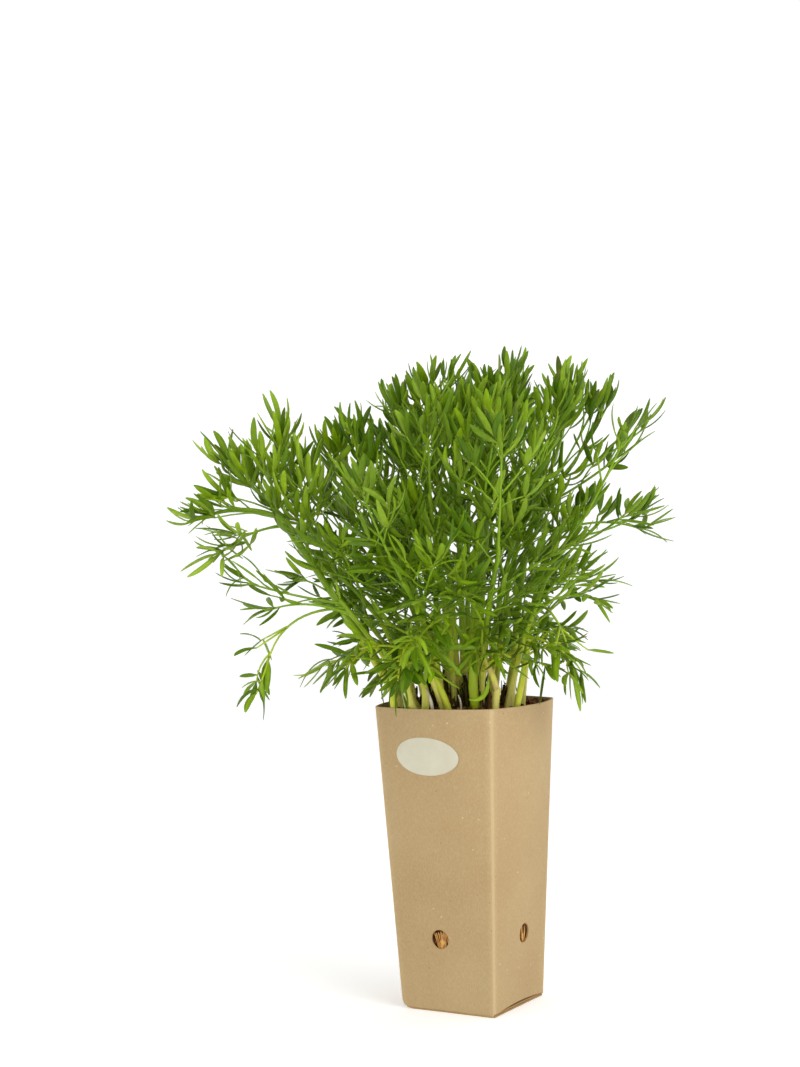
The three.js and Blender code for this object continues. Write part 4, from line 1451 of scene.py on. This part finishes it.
def card_material():
    look = Look("kraft_card")
    vector = look.coordinates()
    middle = look.noise(vector, 130, 4, 0.65)
    base = look.ramp(look.noise(vector, 16, 3), (0.3, (168, 140, 99)), (0.7, (178, 153, 112)))
    clouded = look.blend(look.ramp(middle, (0.4, 0), (0.75, 0.3)), base, (168, 139, 92))
    fibre = look.noise(look.coordinates(1, 1, 0.35), 1500, 4, 0.7)
    fibred = look.blend(look.ramp(fibre, (0.45, 0), (0.62, 0.22)), clouded, (208, 188, 148))
    lit = look.blend(look.specks(vector, 190, 0.1, 0.9, 0.45), fibred, (232, 216, 178))
    dark = look.specks(look.coordinates(1.1, 1.1, 0.8), 230, 0.09, 0.86, 0.7)
    specked = look.blend(dark, lit, (118, 90, 54))
    wear, edge = look.tint()[:2]
    worn = look.blend(look.times(wear, 0.35), specked, (220, 198, 154))
    cut = look.blend(look.times(edge, 0.75), worn, (164, 128, 80))
    return look.finish(cut, 0.78, 0.25, (look.blend(0.6, fibre, middle), 0.25, 0.0003))


def sticker_material():
    look = Look("cream_paper")
    vector = look.coordinates()
    base = look.ramp(look.noise(vector, 90, 3), (0.35, (195, 190, 167)), (0.7, (203, 198, 177)))
    fibre = look.noise(vector, 2200, 3, 0.7)
    fibred = look.blend(look.ramp(fibre, (0.5, 0), (0.7, 0.12)), base, (178, 170, 142))
    return look.finish(fibred, 0.5, 0.4, (fibre, 0.12, 0.0001))


def soil_material():
    look = Look("peat_soil")
    vector = look.coordinates()
    coarse = look.noise(vector, 240, 5, 0.7)
    browns = (0.3, (38, 22, 12)), (0.5, (72, 42, 22)), (0.68, (112, 72, 38)), (0.8, (150, 108, 62))
    base = look.ramp(coarse, *browns)
    flecked = look.blend(look.specks(vector, 520, 0.3, 0.82, 0.7), base, (138, 62, 30))
    threads = look.noise(look.coordinates(1, 1, 0.25), 900, 3, 0.6)
    rooty = look.blend(look.ramp(threads, (0.62, 0), (0.7, 0.5)), flecked, (186, 140, 84))
    return look.finish(rooty, 0.92, 0.15, (coarse, 0.8, 0.0012))


def crumb_material():
    look = Look("soil_crumb")
    shade, redness, moss = look.tint()[:3]
    browns = (0, (40, 24, 14)), (0.45, (80, 48, 26)), (0.8, (124, 84, 48)), (1, (168, 128, 80))
    base = look.ramp(shade, *browns)
    mossy = look.blend(moss, look.blend(redness, base, (132, 58, 30)), (92, 88, 30))
    grain = look.noise(look.coordinates(), 1100, 4, 0.7)
    grained = look.blend(look.ramp(grain, (0.35, 0.5), (0.65, 0)), mossy, (28, 16, 10))
    return look.finish(grained, 0.9, 0.2, (grain, 0.7, 0.0006))


def root_material():
    look = Look("fine_root")
    vector = look.coordinates()
    base = look.ramp(look.noise(vector, 160, 3), (0.35, (158, 100, 40)), (0.65, (222, 170, 92)))
    return look.finish(base, 0.7, bump=(look.noise(vector, 900, 2), 0.5, 0.0002))


def husk_material():
    look = Look("dry_husk")
    streak = look.noise(look.coordinates(1, 1, 0.08), 900, 3)
    base = look.ramp(streak, (0.35, (150, 136, 112)), (0.65, (200, 190, 170)))
    return look.finish(base, 0.4, bump=(streak, 0.4, 0.0003), inside=(0.3, (1, 0.9, 0.7), 0.002))


def stage_material():
    look = Look("pale_backdrop")
    soft = look.noise(look.coordinates(), 0.7, 1)
    base = look.ramp(soft, (0.3, (0.9, 0.9, 0.895, 1)), (0.7, (0.92, 0.92, 0.915, 1)))
    look.put(look.shader.inputs["Emission Color"], (1, 1, 1, 1))
    look.put(look.shader.inputs["Emission Strength"], STAGE_GLOW)
    return look.finish(base, 0.9, 0.1)


# Pot

def round_angles(count):
    return [2 * math.pi * side / count for side in range(count)]


def turned(wall, along, out):
    """A place in plan, from its place along one of the four walls and out from the middle."""
    turn = wall * math.pi / 2
    cos, sin = math.cos(turn), math.sin(turn)
    return vec(along * cos + out * sin, along * sin - out * cos)


def pushed_in(x, y, z, depth):
    scale = 1 - depth / math.hypot(x, y)
    return vec(x * scale, y * scale, z)


def pot_outline(z, inset):
    """The pot's outline at one height with rounded creases, as points, wear values and wall numbers."""
    half = pot_half_side(z) - inset
    bulge = pot_bulge(z)
    reach = 1 - max(LEAST_CREASE, CREASE_RADIUS - inset) / half
    points, wear, walls = [], [], []
    for wall in range(4):
        for step in range(FACE_STEPS + 1):
            share = reach * (-1 + 2 * step / FACE_STEPS)
            points.append(turned(wall, half * share, half + bulge * (1 - share ** 2)))
            wear.append(max(0, (abs(share) - WORN_FROM) / (1 - WORN_FROM)))
            walls.append(wall)
        after = turned(wall + 1, -half * reach, half + bulge * (1 - reach ** 2))
        crease = [points[-1], turned(wall, half, half), after]
        for step in range(1, CREASE_STEPS):
            t = step / CREASE_STEPS
            points.append(curve_point(crease, t))
            wear.append(1)
            walls.append(wall if t < 0.5 else (wall + 1) % 4)
    return np.array(points), wear, walls


def wall_foot(wall, y):
    """How low the wall reaches: folded under at the front and back, lifted at the sides."""
    if wall % 2 == 0:
        return FOLD_FOOT
    return FLOOR_THICK + LIFT_LEAST + LIFT_HEIGHT * max(0, 1 - (y / LIFT_HALF_LENGTH) ** 2)


def fold_under(wall, z):
    """How far the front and back walls turn in at their rounded bottom fold."""
    if wall % 2 == 1 or z >= FOLD_RADIUS:
        return 0
    return FOLD_RADIUS - math.sqrt(FOLD_RADIUS ** 2 - (FOLD_RADIUS - z) ** 2)


def wear_corner(point):
    """Rounds off the front left corner at the bottom, as a crushed fold does."""
    x, y, z = point
    radius = WORN_CORNER_RADIUS * (1 - smooth_step((y + POT_BASE_SIDE / 2) / WORN_CORNER_LENGTH))
    beyond, below = radius - (x + POT_BASE_SIDE / 2), radius - z
    distance = math.hypot(beyond, below)
    if beyond <= 0 or below <= 0 or distance <= radius:
        return point
    return vec(radius * (1 - beyond / distance) - POT_BASE_SIDE / 2, y, radius * (1 - below / distance))


def wall_layer(inset):
    """Rings of one side of the walls, from the foot to the rim, and the wear along a ring."""
    outline, wear, walls = pot_outline(0, inset)
    feet = [wall_foot(wall, y) for (x, y), wall in zip(outline, walls)]
    rings = []
    for level in range(WALL_LEVELS + 1):
        share = (level / WALL_LEVELS) ** LEVEL_POWER
        ring, at_height = [], {}
        for number, foot in enumerate(feet):
            z = foot + (POT_HEIGHT - foot) * share
            key = round(z, 3)
            if key not in at_height:
                at_height[key] = pot_outline(z, inset)[0]
            x, y = at_height[key][number]
            ring.append(wear_corner(pushed_in(x, y, z, fold_under(walls[number], z - FOLD_FOOT))))
        rings.append(np.array(ring))
    return rings, wear


def vent_axes(quarter):
    """The way out of a wall, the way along it, and how far its vent stands off the middle."""
    turn = quarter * math.pi / 2
    out = vec(math.sin(turn), -math.cos(turn), 0)
    along = vec(math.cos(turn), math.sin(turn), 0)
    return out, along, -VENT_SHIFT if quarter % 2 == 0 else VENT_SHIFT


def cut_vents(piece):
    """Cuts the round vents through the four walls."""
    for quarter in range(4):
        out, along, shift = vent_axes(quarter)
        rings = []
        for distance in (POT_BASE_SIDE * 0.4, POT_TOP_SIDE * 0.6):
            ring = []
            for angle in round_angles(VENT_SIDES):
                centre = out * distance + along * (shift + VENT_RADIUS * math.cos(angle))
                ring.append(centre + UP * (VENT_HEIGHT + VENT_RADIUS * math.sin(angle)))
            rings.append(np.array(ring))
        plug = Skin()
        plug.add_rings(rings, np.ones((2, 4)))
        cutter = plug.make("vent_cutter")
        modifier = piece.modifiers.new("vent", "BOOLEAN")
        modifier.operation = "DIFFERENCE"
        modifier.solver = "EXACT"
        modifier.object = cutter
        bpy.context.view_layer.update()
        shaped = bpy.data.meshes.new_from_object(piece.evaluated_get(bpy.context.evaluated_depsgraph_get()))
        piece.modifiers.clear()
        piece.data = shaped
        bpy.data.objects.remove(cutter)


def add_flap(skin, low, margin, wave):
    """One layer of the folded floor, with a slightly uneven cut edge."""
    rings = []
    high = low + FLAP_THICK
    for z, inset in ((low, FLAP_ROUND), (low + FLAP_CORNER, 0), (high - FLAP_CORNER, 0), (high, FLAP_ROUND)):
        ring = []
        for x, y in pot_outline(0, margin)[0]:
            depth = inset + wave * ripple(x * 0.12, y * 0.12, low)
            ring.append(wear_corner(pushed_in(x, y, z, depth)))
        rings.append(np.array(ring))
    skin.add_rings(rings, tint_rows(len(rings), 0, FLAP_EDGE))


def make_pot(material):
    outer, wear = wall_layer(0)
    inner = wall_layer(CARD)[0]
    rings = outer[:-1] + [mix(outer[-1], outer[-2], LIP_ROUND)]
    rings += [mix(outer[-1], inner[-1], share) for share in LIP_SHARES]
    rings += [mix(inner[-1], inner[-2], LIP_ROUND)] + inner[-2::-1]
    count = len(wear)
    tints = tint_rows(len(rings) * count, wear * len(rings))
    tints[len(outer) * count:(len(outer) + 2) * count, 1] = LIP_EDGE
    faces = []
    for ring in range(len(rings)):
        faces += band(ring * count, (ring + 1) % len(rings) * count, count)
    skin = Skin()
    skin.add(np.concatenate(rings), faces, tints)
    pot = skin.make("card_pot", material)
    cut_vents(pot)
    flaps = Skin()
    add_flap(flaps, FLAP_FOOT, 0.5, 0.35)
    add_flap(flaps, FLAP_FOOT + FLAP_THICK + FLAP_GAP, 0.9, 0.5)
    floor = flaps.make("pot_floor_flaps", material)
    for piece in (pot, floor):
        piece.data.set_sharp_from_angle(angle=CARD_SHARP)
    attach(pot, "pot")
    attach(floor)


# Sticker

def sticker_layer(gap, grow):
    """One face of the sticker: its middle, then rings of points out to its edge."""
    half_across, half_tall = STICKER_ACROSS / 2, STICKER_TALL / 2
    cos, sin = math.cos(STICKER_TURN), math.sin(STICKER_TURN)
    places = [(0, 0)]
    for row in range(STICKER_ROWS):
        reach = math.sin(math.pi / 2 * (row + 1) / STICKER_ROWS)
        for angle in round_angles(STICKER_SIDES):
            across, tall = (half_across + grow) * reach, (half_tall + grow) * reach
            places.append((across * math.cos(angle), tall * math.sin(angle)))
    points = []
    for across, tall in places:
        x = STICKER_X + across * cos - tall * sin
        z = STICKER_Z + across * sin + tall * cos
        edge = (across / half_across) ** 2 + (tall / half_tall) ** 2
        curl = STICKER_CURL * max(0, edge - STICKER_FLAT) / 0.2 * max(0, across / half_across) ** 2
        points.append(vec(x, -(wall_reach(x, z) + gap + curl), z))
    return points


def make_sticker(material):
    """A thin oval of paper that follows the bulge of the front wall."""
    back = sticker_layer(STICKER_GAP, 0)
    front = sticker_layer(STICKER_GAP + STICKER_THICK, STICKER_SHRINK)
    offset, sides = len(back), STICKER_SIDES
    starts = [1 + row * sides for row in range(STICKER_ROWS)]
    faces = []
    for side in range(sides):
        after = (side + 1) % sides
        faces += [(0, 1 + after, 1 + side), (offset, offset + 1 + side, offset + 1 + after)]
    for low, high in zip(starts, starts[1:]):
        faces += band(low, high, sides)
        faces += [(b, a, d, c) for a, b, c, d in band(offset + low, offset + high, sides)]
    faces += band(starts[-1], offset + starts[-1], sides)
    skin = Skin()
    skin.add(np.array(back + front), faces, tint_rows(2 * offset))
    sticker = skin.make("oval_sticker", material)
    sticker.data.set_sharp_from_angle(angle=STICKER_SHARP)
    attach(sticker, "sticker")


# Soil

def ripple(x, y, z):
    return noise.noise(Vector((x, y, z)))


def soil_point(x, y):
    """A place on the soil's top: lumps of several sizes, lower towards the walls."""
    rim = max(abs(x), abs(y)) / pot_half_side(SOIL_TOP)
    lumps = ripple(x * 0.09, y * 0.09, 3) + 0.5 * ripple(x * 0.3, y * 0.3, 9)
    grains = 0.22 * ripple(x * 0.9, y * 0.9, 21)
    drop = SOIL_RIM_DROP * max(0, rim - SOIL_DROP_FROM)
    return vec(x, y, SOIL_TOP + SOIL_RELIEF * (0.6 * lumps + grains) - drop)


def soil_side_push(x, y, z):
    """How far the root ball's side stands back from the card."""
    rough = ripple(x * 0.5, y * 0.5, z * 0.5) + 0.6 * ripple(x * 1.3, y * 1.3, z * 1.3)
    return max(0, BALL_SET_BACK[0] + BALL_SET_BACK[1] * rough)


def make_soil(material):
    low, high = FLOOR_THICK + GAP, SOIL_TOP - 2
    rings = []
    for row in range(SOIL_SIDE_ROWS + 1):
        z = low + (high - low) * row / SOIL_SIDE_ROWS
        outline = pot_outline(z, CARD + GAP)[0]
        rings.append(np.array([pushed_in(x, y, z, soil_side_push(x, y, z)) for x, y in outline]))
    rim = rings[-1]
    for row in range(1, SOIL_ROWS):
        share = 1 - row / SOIL_ROWS
        rings.append(np.array([soil_point(x * share, y * share) for x, y, z in rim]))
    skin = Skin()
    skin.add_rings(rings, tint_rows(len(rings) + 1), 0, soil_point(0, 0))
    attach(skin.make("root_ball", material), "soil")


def soil_place(draw, reach):
    half = pot_half_side(SOIL_TOP) * reach
    return soil_point(either(draw, 2 * half), either(draw, 2 * half))


def lump_points():
    """A ball of 42 points, with its faces, that each crumb is a bent copy of."""
    ball = bmesh.new()
    bmesh.ops.create_icosphere(ball, subdivisions=2, radius=1)
    points = np.array([tuple(v.co) for v in ball.verts])
    faces = [tuple(v.index for v in face.verts) for face in ball.faces]
    ball.free()
    return points, faces


def random_turn(draw):
    axis = unit(vec(either(draw, 2), either(draw, 2), either(draw, 2) + 0.01))
    return np.array(Matrix.Rotation(2 * math.pi * draw(), 3, Vector(axis)))


def make_crumbs(material):
    draw = random_stream(SOIL_SEED)
    ball, faces = lump_points()
    skin = Skin()
    for number in range(CRUMB_COUNT + CHIP_COUNT):
        place = soil_place(draw, CRUMB_REACH)
        size = between(CRUMB_SIZE, draw() ** 2)
        stretch = vec(*(CHIP_SHAPE if number >= CRUMB_COUNT else CRUMB_SHAPE))
        shift = vec(number * 1.7, number * 0.9, number * 2.3)
        bumps = np.array([ripple(*(point * 1.3 + shift)) for point in ball])
        points = ball * (1 + CRUMB_BUMPS * bumps[:, None]) * stretch * size
        points = points @ random_turn(draw).T + place + UP * (size * CRUMB_RISE)
        skin.add(points, faces, tint_rows(len(points), draw(), CRUMB_REDNESS * draw() ** 3, 0, 1))
    attach(skin.make("soil_crumbs", material))


def make_roots(material):
    """Fine pale roots on the soil, and the ones that show in the vents."""
    draw = random_stream(ROOTS_SEED)
    skin = Skin()
    edge = pot_half_side(SOIL_TOP) - ROOT_EDGE
    for number in range(ROOT_COUNT):
        start = soil_place(draw, ROOT_REACH)
        way = headed(360 * draw())
        far_x, far_y = (start + way * between(ROOT_SPAN, draw()))[:2]
        end = soil_point(clamp(far_x, -edge, edge), clamp(far_y, -edge, edge))
        via = mix(start, end, 0.5) + vec(either(draw, 6), either(draw, 6), 1 + 3 * draw())
        radius = between(ROOT_RADIUS, draw())
        add_stalk(skin, [start, via, end], [radius, radius * ROOT_TAPER], part=0)
    for quarter in range(4):
        add_vent_roots(skin, quarter, draw)
    attach(skin.make("fine_roots", material))


def add_vent_roots(skin, quarter, draw):
    """Roots that run down behind a vent, one of them thick behind the front one."""
    out, along, shift = vent_axes(quarter)
    depth = wall_reach(0, VENT_HEIGHT) - CARD - GAP - VENT_ROOT_BACK
    tall = VENT_RADIUS + VENT_ROOT_PAST
    for number in range(VENT_ROOTS):
        offset = shift + either(draw, 2 * VENT_RADIUS)
        tilt = either(draw, VENT_ROOT_TILT)
        radius = between(VENT_ROOT_RADIUS, draw())
        if number == 0 and quarter == 0:
            offset, tilt, radius = shift + THICK_ROOT[0], THICK_ROOT[1], THICK_ROOT[2]
        top = out * (depth - radius) + along * (offset + tilt) + UP * (VENT_HEIGHT + tall)
        foot = out * (depth - radius) + along * (offset - tilt) + UP * (VENT_HEIGHT - tall)
        via = mix(top, foot, 0.5) + along * either(draw, 3)
        add_stalk(skin, [foot, via, top], [radius, radius], part=0)


def make_strips(name, strips, material):
    """Flat curved strips that face the camera, each from its foot to its tip."""
    skin = Skin()
    for points, widths, thick, greens in strips:
        stops = even_stops(len(widths))
        tint = tint_rows(len(stops), np.interp(stops, [0, 1], greens))
        curve = [from_plan(*point) for point in points]
        thicks = [thick] * len(stops)
        skin.sweep(curve, stops, widths, thicks, MIDRIB_PROFILE, tint, side=from_plan(1, 0, 0))
    attach(skin.make(name, material))


def make_bent_stem(materials):
    """A pinkish old stem that bends over a joint near its foot, with one hooked leaflet."""
    skin = Skin()
    stops = even_stops(7)
    for points, radii, greens, pinks in BENT_STEM:
        curve = [from_plan(*point) for point in points]
        radius = [between(radii, t) for t in stops]
        rows = stops + [1]
        tint = tint_rows(len(rows), np.interp(rows, [0, 1], greens), np.interp(rows, [0, 1], pinks))
        side = from_plan(1, 0, 0)
        skin.sweep(curve, stops, radius, radius, STEM_PROFILE, tint, STALK_PART, curve[2], side)
    curve = [from_plan(*point) for point in HOOKED_LEAFLET]
    hook = Record(curve=curve, half_width=HOOK_HALF_WIDTH, roll=HOOK_ROLL)
    add_blade(skin, hook, *HOOK_TINT)
    attach(skin.make("bent_old_stem", *materials))


def make_old_feet_and_painted_shade(material):
    """Rough dry stubs of old leaves that stand between the stems, lower towards the walls. Most are dark
    brown, as painted shade between the stem bases.
    """
    draw = random_stream(STUB_SEED)
    skin = Skin()
    for number in range(STUB_COUNT):
        foot = soil_place(draw, STUB_REACH) - UP * 2
        from_edge = 1 - max(abs(foot[0]), abs(foot[1])) / pot_half_side(SOIL_TOP)
        tall = between(STUB_HEIGHT, min(1, 1.6 * from_edge) * draw() ** 1.3)
        top = foot + UP * (tall + STUB_DEPTH) + vec(either(draw, STUB_LEAN), either(draw, STUB_LEAN), 0)
        via = mix(foot, top, 0.5) + vec(either(draw, STUB_BEND), either(draw, STUB_BEND), 0)
        radius = between(STUB_RADIUS, draw() ** 2)
        tapered = [radius * (1 - STUB_TAPER * stop) for stop in STUB_STOPS]
        widths = [width * (1 + either(draw, STUB_ROUGHNESS)) for width in tapered]
        thicks = [width * STUB_THICK for width in widths]
        # Mostly dark browns: painted shade among the stem feet
        tint = tint_rows(len(widths), *(most * draw() ** power for most, power in STUB_TINTS_WITH_PAINTED_SHADE), 1)
        side = headed(360 * draw())
        skin.sweep([foot, via, top], STUB_STOPS, widths, thicks, STALK_PROFILE, tint, side=side)
    attach(skin.make("old_leaf_feet_as_painted_shade", material))


# Stage, lights and camera

def make_stage(material):
    """A round pale floor that curves up into a wall, in metres."""
    profile = [(0.001, 0), (STAGE_FLAT / 2, 0), (STAGE_FLAT, 0)]
    for share in even_stops(13)[1:]:
        angle = math.pi / 2 * share
        profile.append((STAGE_FLAT + STAGE_CURVE * math.sin(angle), STAGE_CURVE * (1 - math.cos(angle))))
    profile.append((STAGE_FLAT + STAGE_CURVE, STAGE_HEIGHT))
    points, faces = [], []
    for radius, z in profile:
        points += [(radius * math.cos(a), radius * math.sin(a), z) for a in round_angles(STAGE_SIDES)]
    for low in range(0, len(points) - STAGE_SIDES, STAGE_SIDES):
        faces += [(a, d, c, b) for a, b, c, d in band(low, low + STAGE_SIDES, STAGE_SIDES)]
    mesh = bpy.data.meshes.new("backdrop")
    mesh.from_pydata(points, [], faces)
    mesh.materials.append(material)
    mesh.polygons.foreach_set("use_smooth", [True] * len(faces))
    link_object("backdrop", mesh)


def make_lights():
    for name, place, target, power in LIGHTS:
        light = bpy.data.lights.new(name, "AREA")
        light.shape = "DISK"
        light.size = LIGHT_SIZE
        light.energy = power
        holder = link_object(name, light)
        holder.location = place
        holder.rotation_mode = "QUATERNION"
        holder.rotation_quaternion = (Vector(target) - Vector(place)).to_track_quat("-Z", "Y")
        holder.visible_camera = False
    world = bpy.data.worlds.new("studio")
    world.use_nodes = True
    background = world.node_tree.nodes["Background"]
    background.inputs["Color"].default_value = (1, 1, 1, 1)
    background.inputs["Strength"].default_value = WORLD_LIGHT
    bpy.context.scene.world = world
    bpy.context.scene.view_settings.view_transform = "Standard"


def make_camera():
    azimuth, pitch, roll = (math.radians(a) for a in (CAMERA_AZIMUTH, CAMERA_PITCH, CAMERA_ROLL))
    level = Vector((math.cos(azimuth), math.sin(azimuth), 0))
    flat = math.cos(pitch)
    ahead = Vector((-math.sin(azimuth) * flat, math.cos(azimuth) * flat, math.sin(pitch)))
    above = level.cross(ahead)
    right = level * math.cos(roll) + above * math.sin(roll)
    up = above * math.cos(roll) - level * math.sin(roll)
    data = bpy.data.cameras.new("camera")
    data.sensor_width = SENSOR_WIDTH
    data.lens = FOCAL_PIXELS / IMAGE_LONG_SIDE * SENSOR_WIDTH
    camera = link_object("camera", data)
    turn = Matrix((right, up, -ahead)).transposed().to_4x4()
    camera.matrix_world = Matrix.Translation(Vector(CAMERA_PLACE) * MM) @ turn
    bpy.context.scene.camera = camera


def make_plant():
    stems = grow_bush()
    for stem in stems:
        grow_tuft(stem)
        for leaf in stem.grown:
            fill_leaf(stem, leaf)
    for stem in stems:
        add_small_leaves(stem)
    materials = [blade_material(), stalk_material()]
    for stem in stems:
        make_shoot(stem, materials)
    make_strips("leaf_sheaths", SHEATHS, materials[1])
    make_bent_stem(materials)


make_camera()
make_lights()
make_stage(stage_material())
make_pot(card_material())
make_sticker(sticker_material())
make_soil(soil_material())
crumb = crumb_material()
make_crumbs(crumb)
make_old_feet_and_painted_shade(crumb)
make_strips("dry_husks", HUSKS, husk_material())
make_roots(root_material())
make_plant()
